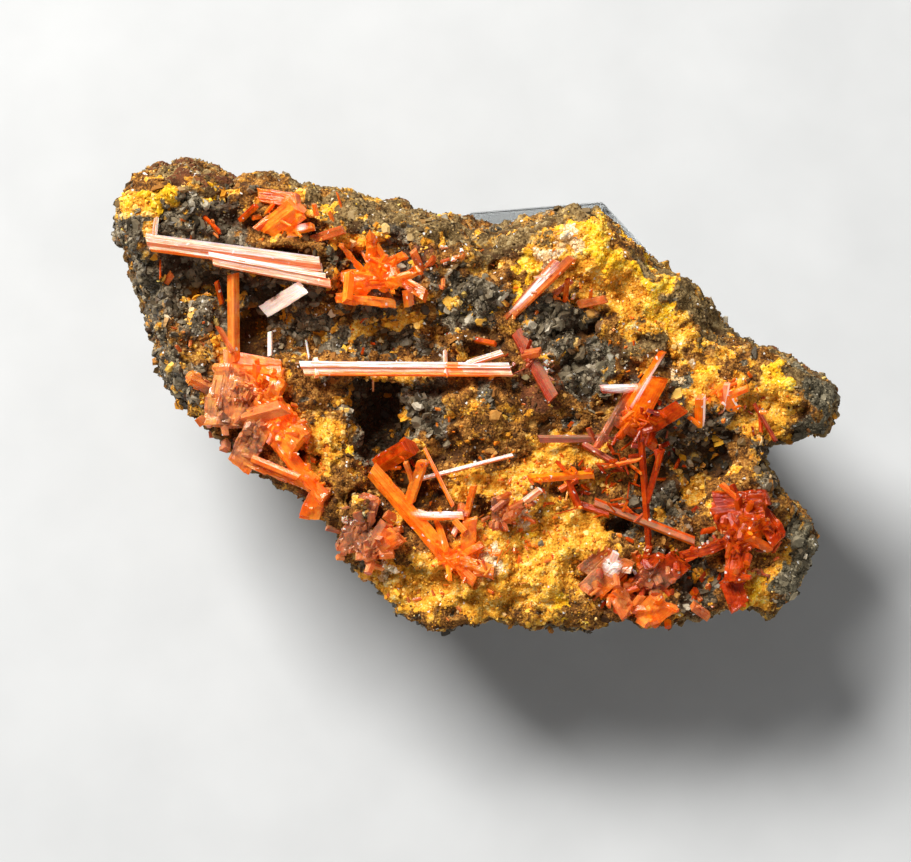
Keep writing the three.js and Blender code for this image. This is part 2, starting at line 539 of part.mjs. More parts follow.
const specimen = new THREE.Group();
specimen.position.set(...FACE_PLACE);
specimen.rotation.x = radians(TILT);
specimen.add(named("matrix", geometryOf(matrixSolid()), { color: "#7a5526", roughness: 0.9 }));
for (const [name, [look, crystals]] of Object.entries(BUNCHES)) {
  specimen.add(named(name, geometryOf(bunchSolid(crystals)), look));
}

const group = new THREE.Group();
group.add(named("display_block", blockGeometry(), { color: "#e4ecef", roughness: 0.05 }));
group.add(specimen);
export default group;
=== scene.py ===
"""Dresses a crocoite specimen: striated crystals on crumbly iron-stained rock, on a clear block.

Metres, +Z up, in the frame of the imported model. Places on the rock's face are given as the
camera sees them: u to the right and v up the slope, in millimetres on the plane of the face.
"""
import json
import math
import random

import bmesh
import bpy
from mathutils import Matrix, Vector, noise
from mathutils.bvhtree import BVHTree

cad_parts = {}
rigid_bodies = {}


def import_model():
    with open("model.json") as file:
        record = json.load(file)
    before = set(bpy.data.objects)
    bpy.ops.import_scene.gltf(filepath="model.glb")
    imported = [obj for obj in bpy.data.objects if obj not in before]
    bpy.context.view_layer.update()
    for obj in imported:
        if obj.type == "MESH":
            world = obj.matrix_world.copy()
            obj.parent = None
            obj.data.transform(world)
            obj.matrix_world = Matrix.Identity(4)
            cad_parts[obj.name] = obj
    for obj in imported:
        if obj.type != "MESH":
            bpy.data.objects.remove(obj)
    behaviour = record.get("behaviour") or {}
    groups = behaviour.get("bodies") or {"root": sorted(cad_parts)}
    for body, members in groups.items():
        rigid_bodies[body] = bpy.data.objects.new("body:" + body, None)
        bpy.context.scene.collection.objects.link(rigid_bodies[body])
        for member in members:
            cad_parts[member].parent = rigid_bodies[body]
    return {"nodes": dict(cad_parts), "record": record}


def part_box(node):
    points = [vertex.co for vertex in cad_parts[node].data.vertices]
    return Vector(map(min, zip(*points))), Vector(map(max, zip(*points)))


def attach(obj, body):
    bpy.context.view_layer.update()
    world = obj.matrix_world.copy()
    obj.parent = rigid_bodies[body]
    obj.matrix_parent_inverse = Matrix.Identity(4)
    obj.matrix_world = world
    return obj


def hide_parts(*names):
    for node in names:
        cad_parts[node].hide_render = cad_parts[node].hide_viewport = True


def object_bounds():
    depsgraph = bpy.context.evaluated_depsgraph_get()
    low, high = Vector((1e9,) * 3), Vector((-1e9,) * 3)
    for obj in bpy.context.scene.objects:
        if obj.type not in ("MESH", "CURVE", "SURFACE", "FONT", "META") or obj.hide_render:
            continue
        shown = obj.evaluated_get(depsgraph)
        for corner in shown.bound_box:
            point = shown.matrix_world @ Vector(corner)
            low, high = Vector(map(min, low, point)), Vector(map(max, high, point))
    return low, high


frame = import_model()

bl_info = {
    "name": "Crocoite Specimen",
    "version": (1, 0, 0),
    "blender": (4, 5, 0),
    "location": "3D View > Sidebar > Specimen",
    "description": "Builds a crocoite specimen with its rock, crystals, grains and display block",
    "category": "Object",
}

CAD_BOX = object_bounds()
BODY = "root"
MM = 0.001

# How the rock's face lies, and where the eye is.
TILT = math.radians(18)
FACE_PLACE = Vector((-13.3, -14.8, 35)) * MM
EYE_DISTANCE = 300  # millimetres
FACE_TURN = Matrix.Rotation(TILT, 3, "X")
FACE_OUT = FACE_TURN @ Vector((0, 0, 1))
FACE_UP = FACE_TURN @ Vector((0, 1, 0))
PICTURE_WIDTH, PIXEL = 911, 0.125  # pixels, and millimetres a pixel at the face
SENSOR = 36  # millimetres
GAP = 0.1 * MM  # between the block and the floor, so that their faces don't coincide

NODE_SLOT = {s["node"]: s["material_slot"] for s in frame["record"]["subparts"]}
CRYSTAL_NODES = [n for n, s in NODE_SLOT.items() if s.endswith("_crocoite")]


# Places on the face


def on_face(u, v, w):
    """The point w millimetres out of the face that lines up with (u, v)."""
    spread = (EYE_DISTANCE - w) / EYE_DISTANCE
    return FACE_PLACE + FACE_TURN @ Vector((u * spread, v * spread, w)) * MM


def seen_at(point):
    """(u, v, w) of a point of the object, in millimetres."""
    x, y, w = FACE_TURN.transposed() @ (point - FACE_PLACE) / MM
    spread = EYE_DISTANCE / (EYE_DISTANCE - w)
    return x * spread, y * spread, w


def smooth_step(value, low, high):
    """0 below low, 1 over high, and a smooth rise between them."""
    share = min(max((value - low) / (high - low), 0), 1)
    return share * share * (3 - 2 * share)


# Zones of the rock's face: (u, v, half width, half height) of each patch, and its turn in
# degrees where it has one.
ZONES = {
    "yellow": [
        (-40.3, 29.2, 1, 0.6), (-36.9, 28.4, 1.5, 1.4), (-30.6, 29.9, 0.9, 0.8),
        (18.1, 22.9, 3.4, 2.4, -25), (24.2, 18, 6.4, 0.9, -58), (6.6, 17.6, 1.1, 1.8),
        (9.7, 20.6, 1.8, 1.4), (33.2, 7.6, 1.9, 0.8, -10), (39.6, 6.5, 2.6, 1.1, -8),
        (38.7, -19.2, 0.9, 2, -20), (10.2, -12.4, 1, 0.8), (-12, -2.9, 0.8, 0.7),
        (13.8, -22.4, 1.6, 0.5), (-17.6, 29, 0.8, 0.5),
    ],
    "ochre": [
        (5.6, -17.4, 12, 6), (4.3, -6.6, 6, 2.4), (-7, -20, 4, 3.5, -40), (-16.3, -1.8, 3.4, 3.4),
        (16.4, 21, 6.6, 4.6, -15), (22, 17.4, 3.4, 4.2, 32), (27.2, 12, 1.6, 3.6, 24),
        (32, 6.4, 4, 2.6), (38.4, 2.2, 3.6, 4.4), (29.3, -6.8, 2.4, 1.8),
        (38.7, -18.6, 2.2, 4, -20), (-18.8, 28.2, 2.8, 1.4, -15), (-38.2, 27.6, 3.2, 1.8),
        (-30, 10.4, 1.6, 1.6), (-7, 13.4, 2.2, 1.6), (13.2, -12.6, 6, 4), (-12.6, 24, 3, 1.6, -20),
        (12.8, -3.8, 5, 3.5), (-12.4, 12.6, 1.8, 1.1),
    ],
    "brown": [
        (-33.6, 32.4, 7.5, 1.6, -6), (-9.6, 27.2, 12.5, 2.6, -13), (9.6, 25.6, 8.5, 2.6, 20),
        (28.2, 18, 8.2, 2.2, -56), (33.6, 17.2, 15, 3.6, -42), (45.5, 7.6, 3.4, 3.2, -30),
        (23.4, 12, 2.4, 2.8),
    ],
    "dark": [
        (-30.8, 18.9, 8, 8), (-33, 25, 7, 3.6), (-10, 21, 7, 5), (-20.6, 17, 3.6, 5, 40),
        (-17.6, 12.6, 4.4, 1.8, -10), (-9.4, 14.6, 4.6, 1.6), (-8, 10.6, 6, 1.6),
        (-8.8, 1.4, 4.5, 5.5), (1.8, 16.4, 5, 3.5), (12.4, 13.9, 4.5, 4.2), (16.2, 7, 4.5, 3.5),
        (-4.4, 4.5, 4, 3), (-12.6, 3.2, 2.2, 2.6), (4.6, 5.1, 1.6, 1.8), (29.3, -1.1, 5, 4.5),
        (24.9, -9.9, 4, 3.5), (19.9, -11.8, 2.4, 1.4), (29.9, -18.6, 3.2, 3.8),
        (39.9, -4.2, 2.5, 2.5), (-9.6, -17.6, 1.6, 2.4, 40), (-39, 17, 2.2, 7.5, 12),
        (-35.6, 7, 2.6, 5.5, 28), (-41, 25, 1.6, 3), (-31.2, 28.6, 5.2, 2, -8),
        (13.6, 1.2, 1.8, 0.9),
    ],
    "grey": [
        (42.7, -14.9, 2.6, 7), (45.6, 3.9, 2.6, 4.8), (-15.7, 21.1, 1.3, 2.6, -15),
        (27.4, 5.6, 1.4, 1.6), (19.8, 9.6, 0.9, 2.2),
    ],
    "cream": [
        (13.2, 22.9, 3.4, 1.4, 12), (-20.6, 28, 1.6, 0.7, -20), (-0.6, 20.6, 1.3, 0.8),
        (9, -10.6, 1.4, 1), (30, 8.6, 1.2, 0.8), (3.8, -16.4, 2, 1.4), (-9, -17, 1, 0.6),
        (26.6, 6.2, 0.8, 0.8),
    ],
    "rust": [(-33.4, 32.8, 6.5, 1.1, -6), (-4.5, 22.5, 2.4, 1.4), (10.6, 5.4, 1.4, 2.2)],
    "sponge": [(-16.4, -2.6, 3.4, 3.2), (-14, -8, 2.4, 3.4, 20)],
    # Pits sink the rock and are also darkened as painted shade; some lie beside and under crystals,
    # where they stand for the crystals' shade.
    "pit": [
        (-9.2, 1.1, 2.4, 3.6), (-6.6, -5.3, 1.1, 1.5), (-4.2, -8.1, 1.6, 1.1),
        (16.4, 12.4, 1.1, 1.1), (-25.2, 12.4, 1.7, 2.8), (-25.7, 17.4, 7.5, 1.1, -5),
        (20, -11.8, 2, 1.2), (40.6, -4.5, 1.6, 2.8), (-7.4, 5.3, 7.5, 0.9), (12.6, 12.2, 0.9, 0.7),
        (-21.4, 22.4, 3, 0.8, -8), (24.6, -5.6, 1.8, 2.2), (29.4, -16.6, 1.6, 2.2),
        (-12.4, 21.6, 2.4, 1.2, -20), (32.6, -3.6, 1.8, 1.8), (-17.8, -3.9, 0.7, 0.7),
        (-20.6, -2.6, 1.2, 0.9), (-12.2, 3.2, 1.1, 1.6),
    ],
}

# Places on the crystals: dull and brownish; fiery orange, which also gets a painted glow; pink
# painted sheen of light; or painted white highlights.
CRYSTAL_PLACES = {
    "dull": [
        (-28.8, 4.2, 3.2, 4.2), (-26.3, -1, 2.8, 3.2), (-12.9, -11.4, 3.4, 4.4, 20),
        (19.4, 1.2, 1, 3.4, -30), (38.6, -17.4, 1.6, 3), (25, -18.6, 2.4, 1.6),
        (16.7, -17.8, 1.5, 2), (23.7, -11.3, 1.2, 0.7), (4.4, -9.4, 1.2, 3, 10),
        (14.2, -0.8, 3.8, 0.6), (11.4, 7.4, 1, 2.6, 30), (-22.9, 17, 0.9, 0.7, 20),
    ],
    "fire_and_glow": [
        (-5.2, -10.9, 7.4, 1.3, -49), (-2.6, -15.6, 4.4, 3.4), (-11, 19, 5, 3.2),
        (-25.2, 8.4, 3.4, 2.2), (-21.8, 1.2, 2.4, 2.6), (-19.4, -4.9, 4.4, 1.2, -48),
        (-17.4, -8.6, 1.2, 1.6), (23.6, 5.2, 1.9, 5, -30), (33.7, 4.2, 2.2, 2.6), (30.6, 2.6, 1, 2),
        (10.9, 17.2, 4.4, 0.6, 47), (13.2, -5.7, 4, 1), (-20.8, 26.2, 3.6, 2.2, 20),
        (-2.2, -5.8, 0.8, 1.2), (-6, 7, 13, 0.5), (-8.4, -13.6, 1, 1.8), (37, -13, 1, 1.2),
        (-34.6, 21.9, 4.4, 0.55, -10), (-0.3, 7.7, 1, 1.4), (19, -20.2, 1.6, 1),
        (25.4, -22.6, 3.4, 1.8),
    ],
    # Places painted with a sheen of light along the lines.
    "pale": [
        (-27.7, 14.6, 0.4, 5.6), (-21.8, 26.8, 1.8, 1, 25), (-9.6, 16.2, 3.4, 0.5, -6),
        (-32.8, 6.4, 1, 1), (23.4, 6.4, 0.4, 3, -32), (-4.6, 18.6, 1, 1), (10.4, 18.4, 5, 1, 48),
        (-18.6, -7.8, 0.8, 1), (32, -14.6, 2.4, 1, 15),
    ],
    # Places painted with a white highlight.
    "painted_highlight": [
        (20.4, 5.5, 2.2, 0.6), (-1.9, -10.3, 2.9, 0.45), (31.3, 2.9, 0.4, 1.6, 10),
        (33.9, 4.2, 0.4, 1.8, -10), (19.6, -16.9, 1, 1.1, -30), (-19.2, 25.5, 0.6, 0.4, 20),
        (-20.1, 23.9, 0.3, 0.3), (23.7, 5.8, 0.22, 3.6, -32), (10.3, 18.4, 4, 0.35, 47),
    ],
}

# A place fades between these shares of its half sizes. Nothing is left of it at the last one.
FADE = (0.55, 1.45)
PLACE_END = 2


def place_share(places, u, v):
    """How far inside the places (u, v) is: 1 well inside, 0.5 at an edge and 0 well outside."""
    share = 0
    for cu, cv, ru, rv, *turn in places:
        end = PLACE_END * max(ru, rv)
        if abs(u - cu) > end or abs(v - cv) > end:
            continue
        angle = math.radians(sum(turn))
        du = (u - cu) * math.cos(angle) + (v - cv) * math.sin(angle)
        dv = (v - cv) * math.cos(angle) - (u - cu) * math.sin(angle)
        share = max(share, 1 - smooth_step(math.hypot(du / ru, dv / rv), *FADE))
    return share


# Node trees


MIX_COLORS, MIX_RESULT = (6, 7), 2  # sockets of a Mix node in its colour mode


class Tree:
    """Adds nodes to a node tree. An input is a value, or another node's output to link."""

    def __init__(self, tree):
        self.tree = tree

    def add(self, kind, inputs, **settings):
        node = self.tree.nodes.new(kind)
        for name, value in settings.items():
            setattr(node, name, value)
        self.plug(node, inputs)
        return node

    def plug(self, node, inputs):
        for name, value in inputs.items():
            if isinstance(value, bpy.types.NodeSocket):
                self.tree.links.new(value, node.inputs[name])
            else:
                node.inputs[name].default_value = value

    def noise(self, vector, scale, detail, roughness):
        inputs = {"Vector": vector, "Scale": scale, "Detail": detail, "Roughness": roughness}
        return self.add("ShaderNodeTexNoise", inputs).outputs["Fac"]

    def cells(self, vector, scale, output):
        inputs = {"Vector": vector, "Scale": scale}
        return self.add("ShaderNodeTexVoronoi", inputs).outputs[output]

    def math(self, operation, first, second):
        inputs = {0: first, 1: second}
        return self.add("ShaderNodeMath", inputs, operation=operation).outputs[0]

    def times(self, first, second):
        return self.math("MULTIPLY", first, second)

    def plus(self, first, second):
        return self.math("ADD", first, second)

    def minus(self, first, second):
        return self.math("SUBTRACT", first, second)

    def spread(self, value, low, high, to_low=0, to_high=1):
        inputs = {"Value": value, "From Min": low, "From Max": high}
        inputs |= {"To Min": to_low, "To Max": to_high}
        node = self.add("ShaderNodeMapRange", inputs, interpolation_type="SMOOTHSTEP")
        return node.outputs["Result"]

    def ramp(self, value, stops):
        node = self.add("ShaderNodeValToRGB", {"Fac": value})
        while len(node.color_ramp.elements) < len(stops):
            node.color_ramp.elements.new(0.5)
        for element, (place, color) in zip(node.color_ramp.elements, stops):
            element.position = place
            element.color = (*color, 1)
        return node.outputs["Color"]

    def mix(self, share, first, second, blend="MIX"):
        node = self.add("ShaderNodeMix", {0: share}, data_type="RGBA", blend_type=blend)
        for socket, color in zip(MIX_COLORS, (first, second)):
            self.plug(node, {socket: (*color, 1) if isinstance(color, tuple) else color})
        return node.outputs[MIX_RESULT]

    def attribute(self, name):
        return self.add("ShaderNodeAttribute", {}, attribute_name=name).outputs["Fac"]

    def place(self):
        return self.add("ShaderNodeTexCoord", {}).outputs["Object"]

    def bump(self, height, distance, strength):
        inputs = {"Height": height, "Distance": distance, "Strength": strength}
        return self.add("ShaderNodeBump", inputs).outputs["Normal"]

    def group(self, kind, inputs):
        group = bpy.data.node_groups[kind]
        return self.add("ShaderNodeGroup", inputs, node_tree=group).outputs


def new_group(name, inputs, outputs):
    """A shader node group with float inputs, a Vector input and float outputs."""
    group = bpy.data.node_groups.new(name, "ShaderNodeTree")
    group.interface.new_socket("Vector", in_out="INPUT", socket_type="NodeSocketVector")
    for one in inputs:
        group.interface.new_socket(one, in_out="INPUT", socket_type="NodeSocketFloat")
    for one in outputs:
        group.interface.new_socket(one, in_out="OUTPUT", socket_type="NodeSocketFloat")
    tree = Tree(group)
    return tree, tree.add("NodeGroupInput", {}).outputs, tree.add("NodeGroupOutput", {})


# Finer parts of the patterns, in times the scale of the coarse one.
FINE_EARTH, EARTH_CRUMBS, FINE_STREAKS = 5, 3.2, 3.5
STREAK_LENGTH = 0.035  # how much less a streak changes along the crystal than across it


def earth_group():
    """Crumbly earth: a height and a tone that change over coarse and fine crumbs."""
    tree, given, result = new_group("earth", ["Scale"], ["Height", "Tone"])
    spot, scale = given["Vector"], given["Scale"]
    coarse = tree.noise(spot, scale, 6, 0.68)
    fine = tree.noise(spot, tree.times(scale, FINE_EARTH), 4, 0.7)
    crumbs = tree.cells(spot, tree.times(scale, EARTH_CRUMBS), "Distance")
    height = tree.minus(tree.plus(coarse, tree.times(fine, 0.6)), tree.times(crumbs, 0.55))
    tone = tree.plus(tree.times(coarse, 0.55), tree.times(fine, 0.45))
    tree.plug(result, {"Height": height, "Tone": tree.spread(tone, 0.34, 0.66)})


def glint_group():
    """Small cells, a share of which stand out as painted glints: bright specks."""
    tree, given, result = new_group("glints", ["Scale", "Share"], ["Mask"])
    cells = tree.cells(given["Vector"], given["Scale"], "Color")
    chance = tree.add("ShaderNodeSeparateColor", {"Color": cells}).outputs["Red"]
    low = tree.minus(1, given["Share"])
    tree.plug(result, {"Mask": tree.math("GREATER_THAN", chance, low)})


def streak_group():
    """Fine lines along a crystal, from its lengthwise map."""
    tree, given, result = new_group("streaks", ["Fineness"], ["Line", "Height"])
    inputs = {0: given["Vector"], 1: (1, STREAK_LENGTH, 1)}
    stretch = tree.add("ShaderNodeVectorMath", inputs, operation="MULTIPLY").outputs[0]
    broad = tree.noise(stretch, given["Fineness"], 2, 0.5)
    fine = tree.noise(stretch, tree.times(given["Fineness"], FINE_STREAKS), 2, 0.6)
    line = tree.plus(tree.times(broad, 0.6), tree.times(fine, 0.4))
    tree.plug(result, {"Line": tree.spread(line, 0.36, 0.64), "Height": line})


def new_material(name):
    """A material with an empty Principled shader, its tree, and the shader's node."""
    material = bpy.data.materials.new(name)
    material.use_nodes = True
    shader = material.node_tree.nodes["Principled BSDF"]
    return material, Tree(material.node_tree), shader


# Materials


# How many of each pattern's parts fit in a metre.
EARTH_SCALE, ZONE_EDGE_SCALE, STAIN_SCALE, GRAIN_SCALE = 700, 520, 300, 2600
STREAK_FINENESS, CLOUD_SCALE, SCUFF_SCALE, FLOOR_SCALE = 3800, 620, 260, 60
ROCK_GLINTS = {"Scale": 3600, "Share": 0.006}
CRYSTAL_GLINTS = {"Scale": 3000, "Share": 0.007}

ZONE_EDGE = (0.38, 0.62)  # the shares of a zone between which its colour sets in
ZONE_EDGE_PUSH = 1.3  # how far the fine wandering of that edge goes

# Colours of the zones, from the shadows between the crumbs to their lit tops.
EARTH_TONES = {
    "mixed": [
        (0, (0.024, 0.009, 0.003)), (0.35, (0.13, 0.048, 0.009)), (0.7, (0.38, 0.15, 0.022)),
        (1, (0.74, 0.4, 0.1)),
    ],
    "brown": [
        (0, (0.034, 0.018, 0.007)), (0.35, (0.145, 0.085, 0.028)), (0.7, (0.32, 0.205, 0.076)),
        (1, (0.55, 0.41, 0.2)),
    ],
    "dark": [
        (0, (0.011, 0.008, 0.004)), (0.35, (0.083, 0.06, 0.034)), (0.8, (0.275, 0.218, 0.136)),
        (1, (0.62, 0.54, 0.4)),
    ],
    "ochre": [
        (0, (0.34, 0.105, 0.006)), (0.3, (0.82, 0.315, 0.018)), (0.65, (1, 0.53, 0.048)),
        (1, (1, 0.78, 0.32)),
    ],
    "yellow": [(0, (0.7, 0.27, 0.006)), (0.5, (1, 0.56, 0.012)), (1, (1, 0.84, 0.2))],
    "grey": [(0, (0.04, 0.032, 0.02)), (0.5, (0.145, 0.118, 0.07)), (1, (0.4, 0.34, 0.22))],
    "cream": [(0, (0.5, 0.24, 0.06)), (0.5, (0.94, 0.66, 0.32)), (1, (1, 0.94, 0.8))],
}
ZONE_ORDER = ("brown", "dark", "ochre", "yellow", "grey", "cream")
RUST_TONES = [(0, (0.03, 0.010, 0.005)), (1, (0.30, 0.095, 0.03))]
FLOOR_TONES = [(0.3, (0.50, 0.51, 0.515)), (0.7, (0.54, 0.55, 0.555))]
# Colour of the painted shade in hollows and pits.
PAINTED_SHADE_COLOR = (0.060, 0.022, 0.006)
ROCK_GLINT_COLOR = (0.96, 0.93, 0.86)
CRYSTAL_GLINT_COLOR = (1, 0.86, 0.76)
# Colour of the painted highlights on crystals.
PAINTED_HIGHLIGHT_COLOR = (1, 0.94, 0.86)
SCATTER_RADIUS = (1, 0.2, 0.04)  # how far red, green and blue light scatter in a crystal
CLEAR_IOR = 1.49
SHADOW_ALPHA = 0.76  # of the clear block's shadow, in which light bent by it isn't traced


def earth_color(tree, tone, mask):
    """The colour at a tone, with each zone laid over the ones before it."""
    color = tree.ramp(tone, EARTH_TONES["mixed"])
    for name in ZONE_ORDER:
        color = tree.mix(mask(name), color, tree.ramp(tone, EARTH_TONES[name]))
    return color


def rock_material(looks):
    material, tree, shader = new_material("rock")
    place = tree.place()
    earth = tree.group("earth", {"Vector": place, "Scale": EARTH_SCALE})
    wander = tree.noise(place, ZONE_EDGE_SCALE, 6, 0.75)

    def mask(name):
        pushed = tree.times(tree.minus(wander, 0.5), ZONE_EDGE_PUSH)
        return tree.spread(tree.plus(tree.attribute(name), pushed), *ZONE_EDGE)

    color = earth_color(tree, earth["Tone"], mask)
    color = tree.mix(mask("rust"), color, tree.ramp(earth["Tone"], RUST_TONES))
    stain = tree.spread(tree.noise(place, STAIN_SCALE, 6, 0.7), 0.55, 0.66)
    amber = tree.ramp(earth["Tone"], EARTH_TONES["ochre"])
    color = tree.mix(tree.times(stain, 0.8), color, amber)
    # Painted shade: hollows and pits are darkened towards a deep brown.
    deep = tree.spread(tree.attribute("hollow"), 0.1, 0.9)
    color = tree.mix(tree.times(deep, 0.8), color, PAINTED_SHADE_COLOR)
    # Painted glints: specks of near white laid on the rock's colour.
    glints = tree.group("glints", {"Vector": place, **ROCK_GLINTS})["Mask"]
    color = tree.mix(tree.times(glints, 0.9), color, ROCK_GLINT_COLOR)
    matte = tree.spread(mask("dark"), 0, 1, 0.85, 0.42)
    tree.plug(shader, {
        "Base Color": color,
        "Roughness": tree.minus(matte, tree.times(glints, 0.3)),
        "Specular IOR Level": 0.2,
        "Normal": tree.bump(earth["Height"], 0.35 * MM, looks.roughness),
    })
    return material


def crystal_material(name, looks, tones, lit, pale, lined, heat, clear, gloss, sheen):
    """Crocoite: its lines, fiery and dull places, painted sheen, highlights and glints, and painted
    glow.
    """
    material, tree, shader = new_material(name)
    place = tree.place()
    lengthwise = tree.add("ShaderNodeUVMap", {}, uv_map="lengthwise").outputs["UV"]
    streaks = tree.group("streaks", {"Vector": lengthwise, "Fineness": STREAK_FINENESS})
    cloud = tree.noise(place, CLOUD_SCALE, 5, 0.7)
    facet = tree.times(tree.attribute("tone"), 0.45 * (1 - lined))
    cloudy = tree.times(tree.spread(cloud, 0.3, 0.7), 0.6 * (1 - lined))
    mixed = tree.plus(tree.plus(facet, cloudy), tree.times(streaks["Line"], lined))

    def three_tones(colors):
        return tree.ramp(mixed, list(zip((0.08, 0.5, 0.95), colors)))

    fire_and_glow = tree.math("MINIMUM", tree.times(tree.attribute("fire_and_glow"), heat), 1)
    color = tree.mix(fire_and_glow, three_tones(tones), three_tones(FIRE_TONES))
    dull = tree.times(tree.attribute("dull"), tree.spread(cloud, 0.36, 0.6, 1, 0.4))
    color = tree.mix(dull, color, three_tones(DULL_TONES))
    line = tree.spread(streaks["Line"], 0.15, 0.6)
    # Painted sheen: faces turned up toward the light and the pale places take the lit colour along
    # their lines, less where fiery.
    cooler = tree.minus(1, tree.times(fire_and_glow, 0.85))
    painted_sheen_share = tree.times(tree.times(tree.attribute("pale"), pale), cooler)
    color = tree.mix(tree.times(painted_sheen_share, line), color, lit)
    # Painted highlights: white along the lines of the highlighted pieces and places, less in dull
    # places.
    painted_highlight = tree.times(tree.attribute("painted_highlight"), tree.minus(1, dull))
    bright = tree.times(painted_highlight, tree.spread(line, 0, 1, 0.6, 0.95))
    color = tree.mix(bright, color, PAINTED_HIGHLIGHT_COLOR)
    # Painted glints: specks of warm white laid on the crystal's colour.
    glints = tree.group("glints", {"Vector": place, **CRYSTAL_GLINTS})["Mask"]
    color = tree.mix(tree.times(glints, 0.8), color, CRYSTAL_GLINT_COLOR)
    # Painted glow: the crystal gives off light of its own colour, most in its fiery places and
    # painted highlights, and a little everywhere.
    glow = tree.plus(tree.plus(tree.times(fire_and_glow, 0.24), tree.times(painted_highlight, 0.2)), 0.05)
    tree.plug(shader, {
        "Base Color": color,
        "Emission Color": tree.mix(1, color, glow, "MULTIPLY"),
        "Emission Strength": 1,
        "Transmission Weight": clear,
        "IOR": looks.ior,
        "Specular IOR Level": sheen,
        "Subsurface Weight": 0.4,
        "Subsurface Radius": SCATTER_RADIUS,
        "Subsurface Scale": 1.2 * MM,
        "Roughness": tree.spread(streaks["Line"], 0, 1, gloss + 0.18, gloss),
        "Normal": tree.bump(streaks["Height"], 0.16 * MM, 0.8),
    })
    return material


def block_material(looks):
    material, tree, shader = new_material("clear_block")
    scuffs = tree.noise(tree.place(), SCUFF_SCALE, 6, 0.75)
    shadow = tree.add("ShaderNodeLightPath", {}).outputs["Is Shadow Ray"]
    tree.plug(shader, {
        "Base Color": (*looks.tint, 1),
        "Transmission Weight": 1,
        "IOR": CLEAR_IOR,
        "Roughness": tree.spread(scuffs, 0.62, 0.74, 0.015, 0.09),
        "Alpha": tree.spread(shadow, 0, 1, 1, SHADOW_ALPHA),
    })
    return material


def floor_material():
    material, tree, shader = new_material("pale_floor")
    grain = tree.noise(tree.place(), FLOOR_SCALE, 3, 0.5)
    tree.plug(shader, {"Base Color": tree.ramp(grain, FLOOR_TONES), "Roughness": 0.75})
    return material


def grain_material():
    """Grains: each has its own tone of the colours of its zone, darker in pits as painted shade."""
    material, tree, shader = new_material("grains")
    fine = tree.noise(tree.place(), GRAIN_SCALE, 3, 0.6)
    tone = tree.plus(tree.times(tree.attribute("tone"), 0.75), tree.times(fine, 0.3))

    def mask(name):
        return tree.spread(tree.attribute(name), *ZONE_EDGE)

    tree.plug(shader, {
        "Base Color": earth_color(tree, tone, mask),
        "Roughness": tree.spread(mask("dark"), 0, 1, 0.78, 0.4),
        "Specular IOR Level": 0.25,
        "Normal": tree.bump(fine, 0.08 * MM, 0.7),
    })
    return material


# Of each colour: its tones from deep to bright, the colour of the painted sheen on lit lines and
# its share, how lined it is, how fiery in colour and painted glow, how clear, how rough and how
# shiny.
CRYSTAL_LOOKS = {
    "pale_crocoite": {
        "tones": ((0.70, 0.19, 0.06), (1, 0.48, 0.25), (1, 0.80, 0.66)), "lit": (1, 0.91, 0.84),
        "pale": 1, "lined": 0.75, "heat": 1.3, "clear": 0.06, "gloss": 0.12, "sheen": 0.35,
    },
    "orange_crocoite": {
        "tones": ((0.66, 0.056, 0.003), (0.96, 0.165, 0.007), (1, 0.36, 0.032)),
        "lit": (1, 0.46, 0.13),
        "pale": 0.4, "lined": 0.12, "heat": 0.8, "clear": 0.1, "gloss": 0.08, "sheen": 0.3,
    },
    "red_crocoite": {
        "tones": ((0.18, 0.008, 0.001), (0.46, 0.031, 0.001), (0.80, 0.105, 0.004)),
        "lit": (0.98, 0.26, 0.07),
        "pale": 0.1, "lined": 0.12, "heat": 0.8, "clear": 0.12, "gloss": 0.08, "sheen": 0.1,
    },
    "pink_crocoite": {
        "tones": ((0.36, 0.045, 0.007), (0.62, 0.125, 0.022), (0.88, 0.27, 0.070)),
        "lit": (0.98, 0.46, 0.21),
        "pale": 0.2, "lined": 0.15, "heat": 0.6, "clear": 0.12, "gloss": 0.12, "sheen": 0.15,
    },
    "dark_crocoite": {
        "tones": ((0.15, 0.008, 0.003), (0.40, 0.026, 0.006), (0.70, 0.10, 0.022)),
        "lit": (0.80, 0.32, 0.18),
        "pale": 0.4, "lined": 0.25, "heat": 0.15, "clear": 0.15, "gloss": 0.1, "sheen": 0.25,
    },
}
FIRE_TONES = ((0.82, 0.073, 0.002), (1, 0.177, 0.003), (1, 0.378, 0.014))
DULL_TONES = ((0.15, 0.056, 0.027), (0.32, 0.155, 0.086), (0.52, 0.33, 0.21))


def crystal_slot_material(slot, looks):
    """The crystals' own material for a slot, made the first time that it is asked for."""
    name = slot.replace("_crocoite", "_crystal")
    if name in bpy.data.materials:
        return bpy.data.materials[name]
    return crystal_material(name, looks, **CRYSTAL_LOOKS[slot])


# Meshes


def mesh_of(name, shape):
    """A mesh of a bmesh, which is freed."""
    mesh = bpy.data.meshes.new(name)
    shape.to_mesh(mesh)
    shape.free()
    return mesh


def new_object(name, data):
    """An object of a mesh, lamp or camera, in the scene."""
    made = bpy.data.objects.new(name, data)
    bpy.context.scene.collection.objects.link(made)
    return made


def new_piece(name, shape, material, slot):
    """An object of a bmesh, with its finish, on the one body."""
    mesh = mesh_of(name, shape)
    mesh.materials.append(material)
    piece = new_object(name, mesh)
    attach(piece, BODY)
    return piece


SAME_POINT = 2e-6  # metres
SAME_PLANE = math.radians(1.5)


def merged_copy(node):
    """A CAD node's mesh as a bmesh, with its loose triangles merged."""
    shape = bmesh.new()
    shape.from_mesh(frame["nodes"][node].data)
    for layer in list(shape.loops.layers.uv):
        shape.loops.layers.uv.remove(layer)
    bmesh.ops.remove_doubles(shape, verts=shape.verts, dist=SAME_POINT)
    return shape


